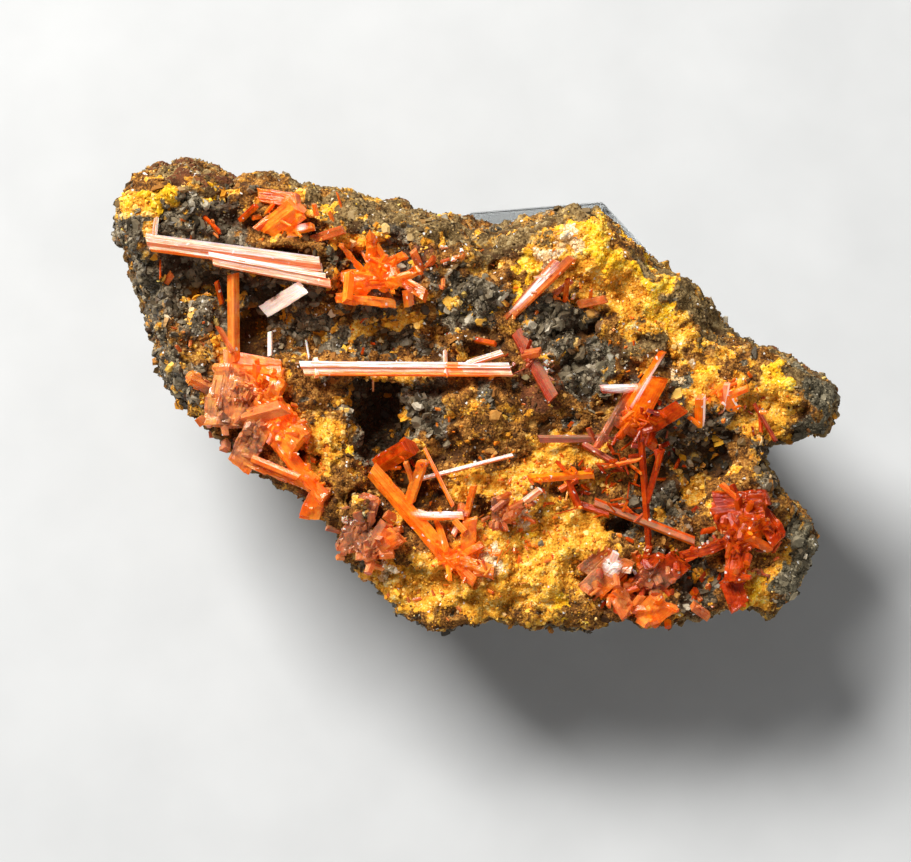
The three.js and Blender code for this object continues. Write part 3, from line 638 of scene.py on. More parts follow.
def flat_faces(shape):
    """Joins triangles of one plane into the flat face that they came from."""
    bmesh.ops.dissolve_limit(
        shape, angle_limit=SAME_PLANE, verts=shape.verts, edges=shape.edges,
    )


def bevel(shape, edges, width, segments):
    bmesh.ops.bevel(
        shape, geom=edges, offset=width, offset_type="OFFSET", segments=segments, profile=0.5,
        affect="EDGES", clamp_overlap=True, material=-1,
    )


def along_face(face):
    """The direction of a face's longest edge."""
    edge = max(face.edges, key=lambda one: one.calc_length())
    return (edge.verts[1].co - edge.verts[0].co).normalized()


def span(face, direction):
    """Where a face starts and ends in one direction."""
    places = [direction.dot(vert.co) for vert in face.verts]
    return min(places), max(places)


SHORTEST_LINED, NARROWEST_LINED = 1.5 * MM, 1.6  # the least length, and width in line spacings
SHORTEST_RIDGED, NARROWEST_RIDGED = 1.8 * MM, 0.4 * MM
NEARLY_RECTANGULAR = 0.8  # the least share of its length times width that a ridged face fills
RIDGES_A_LINE = 0.6
RIDGE_START = (-0.02, 0.35)  # where a ridge starts from each end, as a share of the length


def groove_face(shape, face, chance, spacing, depth):
    """Cuts lines along a crystal's face and sinks or raises them, so that it is striated."""
    along = along_face(face)
    across = face.normal.cross(along).normalized()
    low, high = span(face, across)
    start, end = span(face, along)
    if high - low < NARROWEST_LINED * spacing or end - start < SHORTEST_LINED:
        return
    normal = face.normal.copy()
    faces = [face]
    place = low + spacing * chance.uniform(0.5, 1.1)
    while place < high - 0.4 * spacing:
        parts = set(faces)
        for one in faces:
            parts |= set(one.edges) | set(one.verts)
        cut = bmesh.ops.bisect_plane(
            shape, geom=list(parts), dist=1e-7, plane_co=across * place, plane_no=across,
        )
        shift = normal * chance.uniform(-depth, 0.4 * depth)
        for vert in cut["geom_cut"]:
            if isinstance(vert, bmesh.types.BMVert):
                vert.co += shift
        faces = [one for one in cut["geom"] if isinstance(one, bmesh.types.BMFace)]
        place += spacing * chance.uniform(0.5, 1.5)


def add_ridges(shape, face, chance, looks, lines):
    """Lays thin ridges along a crystal's face. Some reach a little past its ends."""
    along = along_face(face)
    normal = face.normal.copy()
    across = along.cross(normal)
    start, end = span(face, along)
    low, high = span(face, across)
    length = end - start
    width = high - low
    if length < SHORTEST_RIDGED or width < NARROWEST_RIDGED:
        return
    if face.calc_area() < NEARLY_RECTANGULAR * length * width:
        return
    level = normal.dot(face.verts[0].co)
    turn = Matrix((across, along, normal)).transposed().to_4x4()
    for _ in range(max(1, round(width / looks.spacing * RIDGES_A_LINE * lines))):
        wide = min(chance.uniform(0.5, 1.6) * looks.spacing, 0.5 * width)
        middle = chance.uniform(low + wide / 2, high - wide / 2)
        first = start + length * chance.uniform(*RIDGE_START)
        last = end - length * chance.uniform(*RIDGE_START)
        rise = chance.uniform(0.4, 1.6) * looks.groove
        sunk = 2 * looks.groove
        place = Vector((middle, (first + last) / 2, level + (rise - sunk) / 2))
        size = Matrix.Diagonal((wide, last - first, rise + sunk, 1))
        bmesh.ops.create_cube(shape, size=1, matrix=turn @ Matrix.Translation(place) @ size)


def map_lengthwise(shape, chance):
    """Maps each face along its crystal, and gives it a tone."""
    lengthwise = shape.loops.layers.uv.new("lengthwise")
    tone = shape.faces.layers.float.new("tone")
    for face in shape.faces:
        along = along_face(face)
        across = face.normal.cross(along)
        shift = chance.uniform(0, 1)
        for loop in face.loops:
            loop[lengthwise].uv = (across.dot(loop.vert.co) + shift * MM, along.dot(loop.vert.co))
        direction = [round(abs(part) * 6) for part in along]
        face[tone] = random.Random(str(direction)).uniform(0, 1)


def find_places(shape, bright=0):
    """Gives each face its share of the places on the crystals, and paints light by how it faces the
    light.
    """
    layers = {name: shape.faces.layers.float.new(name) for name in CRYSTAL_PLACES}
    for face in shape.faces:
        u, v, _ = seen_at(face.calc_center_median())
        for name, layer in layers.items():
            face[layer] = place_share(CRYSTAL_PLACES[name], u, v)
        out = smooth_step(face.normal.dot(FACE_OUT), 0.0, 0.3)
        # Painted light: faces turned up the slope, toward the light, get a sheen.
        lit = smooth_step(face.normal.dot(FACE_UP), 0.05, 0.5)
        # Painted light: faces turned down the slope, away from the light, get a share of the fiery
        # colour and its glow.
        under = smooth_step(-face.normal.dot(FACE_UP), 0.1, 0.6)
        face[layers["fire_and_glow"]] = max(0.5 * under, face[layers["fire_and_glow"]])
        face[layers["pale"]] = max(lit, face[layers["pale"]]) * out
        # Painted highlight: all over the highlighted pieces, and in the white places on faces
        # turned out.
        face[layers["painted_highlight"]] = max(bright, face[layers["painted_highlight"]] * out)


# How far the faces of the massive bunches are broken up, and how wide a broken facet is.
BROKEN = {
    "edge_cluster": (0.32, 1.9), "brown_lump_crystals": (0.42, 1.4), "right_cluster": (0.34, 1.5),
    "big_plate": (0.2, 1.8), "lower_plates": (0.28, 1.5), "edge_plates": (0.28, 1.4),
    "sunburst": (0.24, 1.3), "plate_cluster": (0.2, 1.2), "thick_prisms": (0.12, 1.5),
    "spray": (0.1, 1.2), "fan": (0.05, 1.2), "white_plate": (0.08, 0.9), "long_pair": (0, 3),
    "long_middle_prism": (0, 3), "diagonal_pair": (0, 3),
}
WHOLE_OVER = {"edge_cluster": 8.2}  # over this level of the face a bunch stays whole
# Pieces that are painted with a highlight all over.
HIGHLIGHTED_PIECES = ("white_plate", "thin_needle")
FINEST_SPLIT = 0.42 * MM  # edges longer than this are split, each time once
SPLITS = 4
FACET_TURN = Matrix.Rotation(0.6, 3, "X") @ Matrix.Rotation(0.5, 3, "Y")
FACET_FLATNESS = 0.5


def broken(shape, node):
    """Breaks faces into small tilted facets, as where many crystals have grown into each other."""
    tone = shape.faces.layers.float["tone"]
    amount, cell = BROKEN[node]
    for _ in range(SPLITS):
        long_edges = [edge for edge in shape.edges if edge.calc_length() > FINEST_SPLIT]
        bmesh.ops.subdivide_edges(shape, edges=long_edges, cuts=1, use_grid_fill=True)
        bmesh.ops.triangulate(shape, faces=[face for face in shape.faces if len(face.verts) > 4])
    shape.normal_update()
    squeeze = FACET_TURN @ Matrix.Diagonal((1, 1, FACET_FLATNESS)) @ FACET_TURN.transposed()
    shifts = []
    for vert in shape.verts:
        if seen_at(vert.co)[1] > WHOLE_OVER.get(node, math.inf):
            continue
        spot = squeeze @ vert.co / (cell * MM)
        centre = noise.voronoi(spot)[1][0]
        tilt = 2 * noise.cell_vector(centre * 7.3) - Vector((1, 1, 1))
        rise = 0.5 * tilt.z + (spot - centre).dot(tilt)
        shifts.append((vert, vert.normal * rise * amount * MM))
    for vert, shift in shifts:
        vert.co += shift
    for face in shape.faces:
        centre = noise.voronoi(squeeze @ face.calc_center_median() / (cell * MM))[1][0]
        face[tone] = 0.35 * face[tone] + 0.65 * (0.5 + 0.5 * noise.cell(centre * 5.1))


PALE_LINES, OTHER_LINES = 1, 0.4  # how densely the faces of a crystal are lined
SHARP = math.radians(20)  # edges sharper than this are bevelled
LEAST_LINED_AREA = 0.8 * MM * MM


def grooved_crystal(node, looks):
    """One crystal or bunch: its flat faces with bevelled edges and lines along their length."""
    chance = random.Random(node)
    shape = merged_copy(node)
    flat_faces(shape)
    lines = PALE_LINES if NODE_SLOT[node] == "pale_crocoite" else OTHER_LINES
    for face in list(shape.faces):
        add_ridges(shape, face, chance, looks, lines)
    sharp = [
        edge for edge in shape.edges
        if edge.is_manifold and edge.is_convex and edge.calc_face_angle() > SHARP
    ]
    bevel(shape, sharp, looks.edge, 1)
    shape.normal_update()
    for face in list(shape.faces):
        if face.is_valid and face.calc_area() > LEAST_LINED_AREA:
            groove_face(shape, face, chance, looks.spacing / lines, looks.groove)
    shape.normal_update()
    map_lengthwise(shape, chance)
    if node in BROKEN:
        broken(shape, node)
        shape.normal_update()
    find_places(shape, node in HIGHLIGHTED_PIECES)
    return shape


# Rock


NOISE_SEED = 3
# Sizes in millimetres of the noises that the zones follow, and how far they move a zone's edge.
WIDE, MIDDLE, FINE = 4.2, 1.6, 0.8
WIDE_MOVE, MIDDLE_MOVE, FINE_MOVE, PIT_MOVE = 2.8, 1.7, 0.8, 0.7
HIDDEN_SIZE, HIDDEN_SHIFT = 9, Vector((7, 3, 1))
MOTTLE_SIZE, MOTTLE_SHIFT = 2.3, Vector((3, 8, 5))


def zone_layers(shape):
    """Writes each zone's share to the rock's points, with edges that wander.

    What faces away from the camera is brown, with dark, ochre and rusty parts.
    """
    noise.seed_set(NOISE_SEED)
    layers = {
        name: shape.verts.layers.float.new(name) for name in (*ZONES, "mixed", "hollow")
    }
    for vert in shape.verts:
        u, v, _ = seen_at(vert.co)
        spot = vert.co / MM
        wide = noise.noise_vector(spot / WIDE)
        fine = MIDDLE_MOVE * noise.noise_vector(spot / MIDDLE)
        fine += FINE_MOVE * noise.noise_vector(spot / FINE)
        facing = smooth_step(vert.normal.dot(FACE_OUT), -0.1, 0.35)
        most = 0
        for name in ZONES:
            wander = PIT_MOVE * wide if name == "pit" else WIDE_MOVE * wide + fine
            share = place_share(ZONES[name], u + wander.x, v + wander.y) * facing
            vert[layers[name]] = share
            if name in ZONE_ORDER:
                most = max(most, share)
        hidden = noise.fractal(spot / HIDDEN_SIZE + HIDDEN_SHIFT, 1, 2, 3)
        beyond = 1 - facing
        rust = smooth_step(hidden, -0.1, 0.5) * max(0, beyond - 0.3)
        for name, share in (
            ("rust", rust), ("brown", beyond), ("ochre", beyond * smooth_step(wide.z, 0.2, 0.7)),
            ("dark", beyond * smooth_step(-hidden, 0, 0.6)),
        ):
            vert[layers[name]] = max(vert[layers[name]], share)
        mottle = noise.fractal(spot / MOTTLE_SIZE + MOTTLE_SHIFT, 1, 2, 3) * facing
        yellow, ochre, brown = (vert[layers[name]] for name in ("yellow", "ochre", "brown"))
        calm = max(yellow, 0.85 * ochre, 0.6 * brown)
        slate = 0.8 * smooth_step(mottle, 0.32, 0.6) * (1 - calm)
        stained = 0.8 * smooth_step(-mottle, 0.3, 0.55)
        vert[layers["dark"]] = max(vert[layers["dark"]], slate)
        vert[layers["ochre"]] = max(ochre * (1 - slate), stained)
        vert[layers["mixed"]] = facing * (1 - max(most, slate))
    return layers


SPONGE_DEPTH, PIT_DEPTH = 1.1, 1.7  # millimetres
CRUMB_SHIFT = Vector((9, 0, 0))
SEAT_FADE = (0.2, 2.5)  # the heights over the seat between which the rock roughens


def crumbs(spot, size):
    """From 0 between crumbs of that size to about 1 at the middle of one."""
    return 1 - noise.voronoi(spot / size)[0][0] * 1.25


def rock_rise(spot, dark, ochre, sponge, pit):
    """How far the rock's surface stands out there: heights and sizes are in millimetres."""
    warp = 0.8 * noise.noise_vector(spot / 1.9)
    rise = 1.3 * noise.noise(spot / 6.3) + 1.1 * noise.fractal((spot + warp) / 3.1, 0.8, 2, 5)
    rise += 0.25 * crumbs(spot, 0.9)
    crumbly = 0.7 * crumbs(spot + warp, 1.6) + 0.35 * crumbs(spot + CRUMB_SHIFT, 0.8)
    knobbly = 1.5 * crumbs(spot + 0.6 * warp, 2.7) + 0.55 * crumbs(spot, 1.2)
    rise += ochre * (crumbly - 0.5)
    rise += dark * (knobbly - 1.0)
    rise -= SPONGE_DEPTH * sponge * smooth_step(crumbs(spot, 1.5), 0.4, 0.9)
    rise -= PIT_DEPTH * pit
    return rise


def crystal_tree():
    """A tree of all the crystals' faces, for what has to meet them."""
    joined = bmesh.new()
    for node in CRYSTAL_NODES:
        joined.from_mesh(frame["nodes"][node].data)
    tree = BVHTree.FromBMesh(joined)
    joined.free()
    return tree


SOCKET_GAP = 0.3 * MM
SOCKET_LAP = 0.05  # millimetres that the rock goes past a crystal's face, so that no gap shows


def close_sockets(shape, crystals):
    """Moves the walls of the crystals' sockets onto the crystals."""
    for vert in shape.verts:
        place, normal, _, distance = crystals.find_nearest(vert.co, 2 * SOCKET_GAP)
        if place is None:
            continue
        pull = 1 - smooth_step(distance, 1.1 * SOCKET_GAP, 2 * SOCKET_GAP)
        vert.co = vert.co.lerp(place - normal * SOCKET_LAP * MM, pull)


SMOOTHINGS = 3


def remeshed_rock(looks):
    """The rock node's shape, evened out into small faces."""
    base = new_object("rock_base", mesh_of("rock_base", merged_copy("matrix")))
    remesh = base.modifiers.new("even", "REMESH")
    remesh.mode = "VOXEL"
    remesh.voxel_size = looks.voxel
    even = bpy.data.meshes.new_from_object(
        base.evaluated_get(bpy.context.evaluated_depsgraph_get()),
    )
    bpy.data.objects.remove(base)
    shape = bmesh.new()
    shape.from_mesh(even)
    bpy.data.meshes.remove(even)
    for _ in range(SMOOTHINGS):
        bmesh.ops.smooth_vert(
            shape, verts=shape.verts, factor=0.5, use_axis_x=True, use_axis_y=True, use_axis_z=True,
        )
    return shape


def rough_rock(looks):
    """The rock with its crumbs, knobs and pits, the zones that its colours follow, and painted
    shade.
    """
    shape = remeshed_rock(looks)
    shape.normal_update()
    layers = zone_layers(shape)
    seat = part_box("matrix")[0].z
    low, high = (seat + height * MM for height in SEAT_FADE)
    for vert in shape.verts:
        dark, ochre, yellow, sponge, pit = (
            vert[layers[name]] for name in ("dark", "ochre", "yellow", "sponge", "pit")
        )
        rise = rock_rise(vert.co / MM, dark, max(ochre, yellow), sponge, pit)
        rise *= smooth_step(vert.co.z, low, high)
        # Painted shade: low places, less so in the ochre and yellow zones, and pits are marked to
        # be darkened.
        shaded = smooth_step(-rise, 0.1, 0.9) * (1 - 0.6 * max(ochre, yellow))
        vert[layers["hollow"]] = max(shaded, 0.9 * pit)
        vert.co += vert.normal * rise * MM * looks.relief
    close_sockets(shape, crystal_tree())
    return shape


# Grains


def jagged(shape, chance, amount):
    """Moves each point of a small shape by a random share of its size."""
    for vert in shape.verts:
        vert.co += Vector([chance.uniform(-amount, amount) for _ in range(3)])


def crumb_shapes(chance):
    """Angular crumbs, one across."""
    for _ in range(6):
        shape = bmesh.new()
        bmesh.ops.create_icosphere(shape, subdivisions=1, radius=0.5)
        jagged(shape, chance, 0.13)
        yield shape


def chip_shapes(chance):
    """Small crumbs with eight faces, one across."""
    for _ in range(8):
        shape = bmesh.new()
        bmesh.ops.create_uvsphere(shape, u_segments=4, v_segments=2, radius=0.5)
        jagged(shape, chance, 0.17)
        yield shape


def flake_shapes(chance):
    """Thin broken flakes, one across."""
    for _ in range(6):
        shape = bmesh.new()
        bmesh.ops.create_cone(
            shape, cap_ends=True, segments=chance.choice((5, 6, 7)), radius1=0.5, radius2=0.38,
            depth=0.26,
        )
        jagged(shape, chance, 0.09)
        yield shape


def splinter_shapes(chance):
    """Crystals one long from the origin up +Z and one wide, with slanting or pointed ends."""
    for sides in (4, 4, 4, 6, 6):
        shape = bmesh.new()
        bmesh.ops.create_cone(
            shape, cap_ends=True, segments=sides, radius1=0.55, radius2=0.5, depth=1,
        )
        bmesh.ops.translate(shape, verts=shape.verts, vec=(0, 0, 0.5))
        slant = chance.uniform(-0.12, 0.12)
        for vert in shape.verts:
            if vert.co.z > 0.5:
                vert.co.z += slant * vert.co.x * 2
        yield shape


def as_meshes(shapes):
    return [mesh_of("grain", shape) for shape in shapes]


def remove_meshes(meshes):
    for mesh in meshes:
        bpy.data.meshes.remove(mesh)


def add_copy(shape, template, matrix):
    """Adds a small shape's mesh, moved by the matrix. Returns how many faces it has."""
    mesh = template.copy()
    mesh.transform(matrix)
    shape.from_mesh(mesh)
    count = len(mesh.polygons)
    bpy.data.meshes.remove(mesh)
    return count


GRAIN_STRETCH = (0.6, 1.3)
PIT_SHADE = 0.85  # how much darker grains are in a pit
ZONE_BLUR = 0.2  # how far a grain's zone may differ from that of its place


def scattered(rock, kind, chance):
    """Copies of small shapes strewn over the rock, more of them where the weight is high."""
    templates = as_meshes(kind["shapes"](chance))
    zones = [rock.verts.layers.float[name] for name in ZONE_ORDER]
    pit = rock.verts.layers.float["pit"]
    wanted = [(rock.verts.layers.float[name], share) for name, share in kind["zones"].items()]
    weights = [
        face.calc_area() * sum(share * face.verts[0][layer] for layer, share in wanted)
        for face in rock.faces
    ]
    low, high = (size * MM for size in kind["sizes"])
    grains = bmesh.new()
    rows = []
    for face in chance.choices(list(rock.faces), weights=weights, k=kind["count"]):
        corners = [vert.co for vert in face.verts]
        shares = [chance.random() for _ in corners]
        place = sum((c * s for c, s in zip(corners, shares)), Vector()) / sum(shares)
        size = low + (high - low) * chance.random() ** kind["small"]
        lean = kind["tilt"] * Vector([chance.gauss(0, 1) for _ in range(3)])
        turn = (face.normal + lean).to_track_quat("Z", "Y").to_matrix().to_4x4()
        turn @= Matrix.Rotation(chance.uniform(0, math.tau), 4, "Z")
        stretch = [chance.uniform(*GRAIN_STRETCH) * size for _ in range(2)]
        matrix = Matrix.Translation(place) @ turn @ Matrix.Diagonal((*stretch, size, 1))
        count = add_copy(grains, chance.choice(templates), matrix)
        near = face.verts[0]
        # Painted shade: a grain in a pit gets a darker tone.
        tone = chance.random() * (1 - PIT_SHADE * near[pit])
        rows += [(tone, *(near[zone] + chance.gauss(0, ZONE_BLUR) for zone in zones))] * count
    remove_meshes(templates)
    layers = [grains.faces.layers.float.new(name) for name in ("tone", *ZONE_ORDER)]
    for face, values in zip(grains.faces, rows):
        for layer, value in zip(layers, values):
            face[layer] = value
    return grains


# Small crystals

# (root, tip, wide, deep) of each, root and tip as (u, v, height over the rock).
SMALL_CRYSTALS = {
    "pale_crocoite": [
        ((-1.3, 10, 0.1), (-1.2, 7, 0.8), 0.5, 0.6), ((-10.3, 6.6, 0), (-10.3, 5, 0.8), 0.25, 0.25),
        ((-18.7, 11.4, 0), (-18.3, 9.1, 1), 0.25, 0.25), ((-11.7, 22.4, 0), (-11, 21, 1), 0.4, 0.3),
        ((14.9, 17.1, 0), (14.6, 16.5, 1.2), 0.4, 0.3),
        ((0.4, -11.6, 0.4), (-0.3, -13, 1), 0.7, 0.4),
        ((7.9, -9.4, 0), (10.6, -7.3, 1.4), 0.9, 0.5),
    ],
    "orange_crocoite": [
        ((-23.2, 26.6, -0.6), (-25, 25.2, 1.6), 0.9, 0.8),
        ((-13.2, 19.6, 0), (-13.6, 16.2, 1.6), 1.2, 1.1),
        ((-6, 17.6, 0.4), (-5.8, 15.6, 2), 1.3, 0.8),
        ((-2.3, -11.2, 0), (-1.1, -14.8, 1.6), 0.8, 0.8),
        ((1.2, -12.6, 0.2), (-0.1, -11.2, 1.7), 0.9, 0.8),
        ((-25.4, -3.4, 0.4), (-19.6, -5.8, 1), 1, 0.8), ((36, -9, 0), (33.2, -6.6, 1.6), 0.9, 0.8),
        ((34.2, 4.4, -0.3), (36.6, 5.4, 1.2), 1, 0.9),
        ((-26.3, 18.3, 0), (-25.7, 15.4, 0.8), 0.6, 0.5),
        ((18.6, -4.5, 0), (23, -3.6, 1.2), 0.5, 0.4), ((21.8, -4.2, 0), (23.2, -5.3, 1), 0.4, 0.4),
    ],
    "red_crocoite": [
        ((17.4, -1.4, 0), (16.6, 0.4, 1.4), 0.7, 0.7),
        ((15.2, -6, -0.2), (13, -7.4, 1.4), 0.9, 0.8), ((36, -13, 0), (39.4, -14.8, 1.2), 1.2, 1),
        ((38, 3.2, -0.2), (38.2, -0.2, 1.4), 0.5, 0.5),
        ((-31.6, 27, 0), (-29.4, 24.9, 0.8), 0.5, 0.4),
        ((-36.9, 21.4, 0), (-36.9, 19.1, 0.8), 0.25, 0.25),
        ((17.8, -4, 0), (18.6, -5.3, 1), 0.5, 0.4),
    ],
    "pink_crocoite": [
        ((-4, 20, -0.4), (-2.6, 21.6, 1.4), 0.9, 0.7),
        ((12.2, 17, -0.4), (14.6, 18.8, 1.6), 0.8, 0.7),
        ((8.4, 9.4, 0), (10.6, 9.9, 2.2), 1.2, 0.7),
        ((4.4, -12, -0.2), (7.4, -10.4, 1.8), 1.2, 0.8),
        ((-27.8, 9.8, 0.2), (-29.6, 13, 1.6), 0.7, 0.7), ((-26.6, 1.6, 0), (-21.4, 3, 1.6), 2, 1.6),
        ((-11.2, -15.6, -0.4), (-8.6, -11.6, 1.2), 2, 1.6), ((0.8, -9.2, 0), (0.6, -10, 1), 1, 0.6),
        ((-36.3, 18.5, 0), (-35.4, 19.7, 1), 0.9, 0.5),
    ],
}

# Splinters round a place: u, v, half width and height, how many, the longest and the widest.
SPLINTERS = {
    "orange_crocoite": [
        (-20, 26.4, 4.5, 2.6, 18, 2.6, 0.8), (-9.4, 19.9, 4.2, 2.6, 26, 2.8, 0.8),
        (-25, 3.6, 4, 4, 30, 2.2, 1), (1.2, -16.1, 4, 2, 26, 2.8, 0.7),
        (6.8, -12.4, 10, 8, 130, 1.4, 0.5), (34.3, 3.9, 5, 3.2, 26, 2, 0.6),
        (-21.5, 1, 2.6, 3, 30, 1.6, 1), (-24.6, 5.6, 2.4, 2, 26, 1.8, 0.9),
        (10, -5, 5, 3.5, 40, 1.3, 0.4), (12.4, 17.6, 5.5, 4, 26, 1.8, 0.5),
        (3, 2, 6, 5, 26, 1.2, 0.5), (22.5, 12, 5, 5, 20, 1.2, 0.4), (-17, -3, 3, 4, 20, 1.4, 0.6),
    ],
    "red_crocoite": [
        (22.6, 1, 3.6, 3.2, 26, 3, 0.6), (20, -6.1, 7, 5, 60, 3, 0.5),
        (23.4, -19.4, 5.5, 3.6, 44, 2, 1.1), (35.8, -13.6, 4.2, 6.5, 60, 2.2, 1),
        (-10.7, 12.6, 8, 3.5, 18, 1.5, 0.4), (-6.5, -4, 4, 3, 14, 2, 0.5),
        (-26, 6, 4, 3, 16, 1.8, 0.8),
    ],
    "pink_crocoite": [
        (6.6, -10.1, 3.5, 2.6, 24, 2.6, 0.8), (23, -19.9, 6, 3.6, 36, 2.2, 1.4),
        (0, 21, 4, 3.6, 14, 1.8, 0.6), (-34, 12, 3.5, 4, 12, 1.4, 0.5),
        (-32, 25, 5, 3.5, 14, 1.6, 0.5), (-11, -13.6, 3.8, 4.2, 34, 2.2, 1.4),
        (-2.5, -21.4, 4.6, 1.8, 12, 1.3, 0.5), (-27, 0, 4, 4, 26, 1.8, 1.3),
        (36, -13, 4, 5, 6, 1.4, 0.6), (31, -21, 2.6, 1.6, 12, 1.2, 0.9),
    ],
    "pale_crocoite": [
        (11.5, 8.3, 0.7, 2, 18, 0.9, 0.6), (-13.2, -11, 0.9, 0.9, 20, 0.8, 0.7),
        (20, -16.8, 1.4, 1.2, 5, 1.6, 1.2), (-0.4, 22.4, 1.6, 1.6, 6, 1.2, 0.8),
        (23, -16, 4, 2.5, 8, 1, 0.5), (35, -10, 3, 5, 5, 0.7, 0.4),
        (-8, -8, 0.9, 1.8, 7, 0.45, 0.3), (31.6, -14.4, 1.2, 0.5, 4, 0.6, 0.4),
    ],
    "dark_crocoite": [
        (25, -1, 3.5, 4, 22, 2.4, 0.7), (35, -12, 4, 5, 20, 1.8, 0.9),
        (37.4, 2, 2.6, 2.6, 10, 2.2, 0.4), (9, 9, 3.5, 4, 14, 2.2, 0.5),
    ],
}
SPLINTER_SUNK = 0.25  # how deep in the rock a splinter starts
SPLINTER_SIZES = (0.3, 1)  # the least and the most of its place's longest and widest
SPLINTER_LEAN = (5, 60)  # degrees out of the face
FACE_RIGHT = Vector((1, 0, 0))


def face_height(ground_tree, u, v):
    """How far out of the face the rock or a crystal is at (u, v), as the camera sees it."""
    eye = on_face(0, 0, EYE_DISTANCE)
    place = ground_tree.ray_cast(eye, on_face(u, v, 0) - eye)[0]
    return None if place is None else seen_at(place)[2]


def prism_matrix(root, tip, wide, deep):
    """Places a shape one long along +Z and one wide between two points."""
    along = tip - root
    across = along.cross(FACE_OUT).normalized()
    front = across.cross(along).normalized()
    turn = Matrix((across * wide, -front * deep, along)).transposed().to_4x4()
    return Matrix.Translation(root) @ turn


def small_crystals(ground_tree, rock_tree, slot):
    """The single small crystals, and the splinters that grow on all but the pale crystals."""
    chance = random.Random(slot)
    templates = as_meshes(splinter_shapes(chance))
    shape = bmesh.new()
    for root, tip, wide, deep in SMALL_CRYSTALS.get(slot, []):
        heights = [face_height(ground_tree, u, v) for u, v, _ in (root, tip)]
        if None in heights:
            continue
        ends = [
            on_face(u, v, height + over) for (u, v, over), height in zip((root, tip), heights)
        ]
        matrix = prism_matrix(*ends, wide * MM, deep * MM)
        add_copy(shape, chance.choice(templates), matrix)
    for cu, cv, ru, rv, count, longest, widest in SPLINTERS[slot]:
        for _ in range(count):
            u, v = cu + ru * chance.gauss(0, 0.5), cv + rv * chance.gauss(0, 0.5)
            height = face_height(rock_tree, u, v)
            if height is None:
                continue
            root = on_face(u, v, height - SPLINTER_SUNK)
            length = longest * chance.uniform(*SPLINTER_SIZES) * MM
            lean = math.radians(chance.uniform(*SPLINTER_LEAN))
            bearing = chance.uniform(0, math.tau)
            level = math.cos(bearing) * FACE_RIGHT + math.sin(bearing) * FACE_UP
            tip = root + (level * math.cos(lean) + FACE_OUT * math.sin(lean)) * length
            if tip.z > CAD_BOX[1].z or tip.x > CAD_BOX[1].x:
                continue
            wide = widest * chance.uniform(*SPLINTER_SIZES) * MM
            matrix = prism_matrix(root, tip, wide, wide * chance.uniform(0.3, 0.9))
            add_copy(shape, chance.choice(templates), matrix)
    remove_meshes(templates)
    shape.normal_update()
    map_lengthwise(shape, chance)
    find_places(shape)
    return shape


# Sizes and colours that a user would change


class CrystalLooks(bpy.types.PropertyGroup):
    edge: bpy.props.FloatProperty(
        name="Edge", description="Width of the bevel on a crystal's edges",
        default=0.05 * MM, unit="LENGTH", precision=6,
    )
    spacing: bpy.props.FloatProperty(
        name="Line spacing", description="Usual distance between the lines along a crystal",
        default=0.19 * MM, unit="LENGTH", precision=6,
    )
    groove: bpy.props.FloatProperty(
        name="Line depth", description="How far a line along a crystal may sink",
        default=0.024 * MM, unit="LENGTH", precision=6,
    )
    ior: bpy.props.FloatProperty(
        name="Refraction", description="Index of refraction of the crystals", default=1.75,
    )


class RockLooks(bpy.types.PropertyGroup):
    voxel: bpy.props.FloatProperty(
        name="Detail", description="Size of the faces that the rock's surface is made of",
        default=0.42 * MM, unit="LENGTH", precision=6,
    )
    relief: bpy.props.FloatProperty(
        name="Relief", description="How strongly crumbs and knobs stand out", default=1.0,
    )
    roughness: bpy.props.FloatProperty(
        name="Grain", description="Strength of the finest grain on the rock", default=0.9,
    )


class BlockLooks(bpy.types.PropertyGroup):
    tint: bpy.props.FloatVectorProperty(
        name="Tint", description="Colour of the clear block", subtype="COLOR",
        default=(0.96, 0.985, 0.99),
    )
    bevel: bpy.props.FloatProperty(
        name="Edge", description="Width of the polished edge of the block",
        default=0.25 * MM, unit="LENGTH", precision=6,
    )


class StageLooks(bpy.types.PropertyGroup):
    key: bpy.props.FloatProperty(
        name="Main light", description="Power of the light from the upper left",
        default=15.5, unit="POWER",
    )
    fill: bpy.props.FloatProperty(
        name="Fill light", description="Power of the light from the lower right",
        default=0.5, unit="POWER",
    )
    sky: bpy.props.FloatProperty(
        name="Room light", description="Strength of the even light all round", default=0.16,
    )


class SpecimenSettings(bpy.types.PropertyGroup):
    crystals: bpy.props.PointerProperty(
        name="Crystals", description="Looks of the crystals", type=CrystalLooks,
    )
    rock: bpy.props.PointerProperty(
        name="Rock", description="Looks of the rock", type=RockLooks,
    )
    block: bpy.props.PointerProperty(
        name="Block", description="Looks of the display block", type=BlockLooks,
    )
    stage: bpy.props.PointerProperty(
        name="Stage", description="Light on the stage", type=StageLooks,
    )


# Operators


# Of each light: direction from the face, distance and size in metres, colour.
KEY_LIGHT = ((-0.45, 0.70, 0.60), 0.9, (0.45, 0.38), (1, 0.985, 0.96))
FILL_LIGHT = ((0.7, -0.5, 0.6), 0.5, (0.4, 0.4), (0.95, 0.97, 1))
SKY_COLOR = (1, 0.99, 0.97, 1)
FLOOR_SIZE = 1.5


def area_light(name, power, direction, distance, size, color):
    """A soft light at a direction from the face, turned to it."""
    light = bpy.data.lights.new(name, "AREA")
    light.shape = "RECTANGLE"
    light.size, light.size_y = size
    light.energy = power
    light.color = color
    away = (FACE_TURN @ Vector(direction)).normalized()
    lamp = new_object(name, light)
    lamp.location = FACE_PLACE + away * distance
    lamp.rotation_euler = away.to_track_quat("Z", "Y").to_euler()


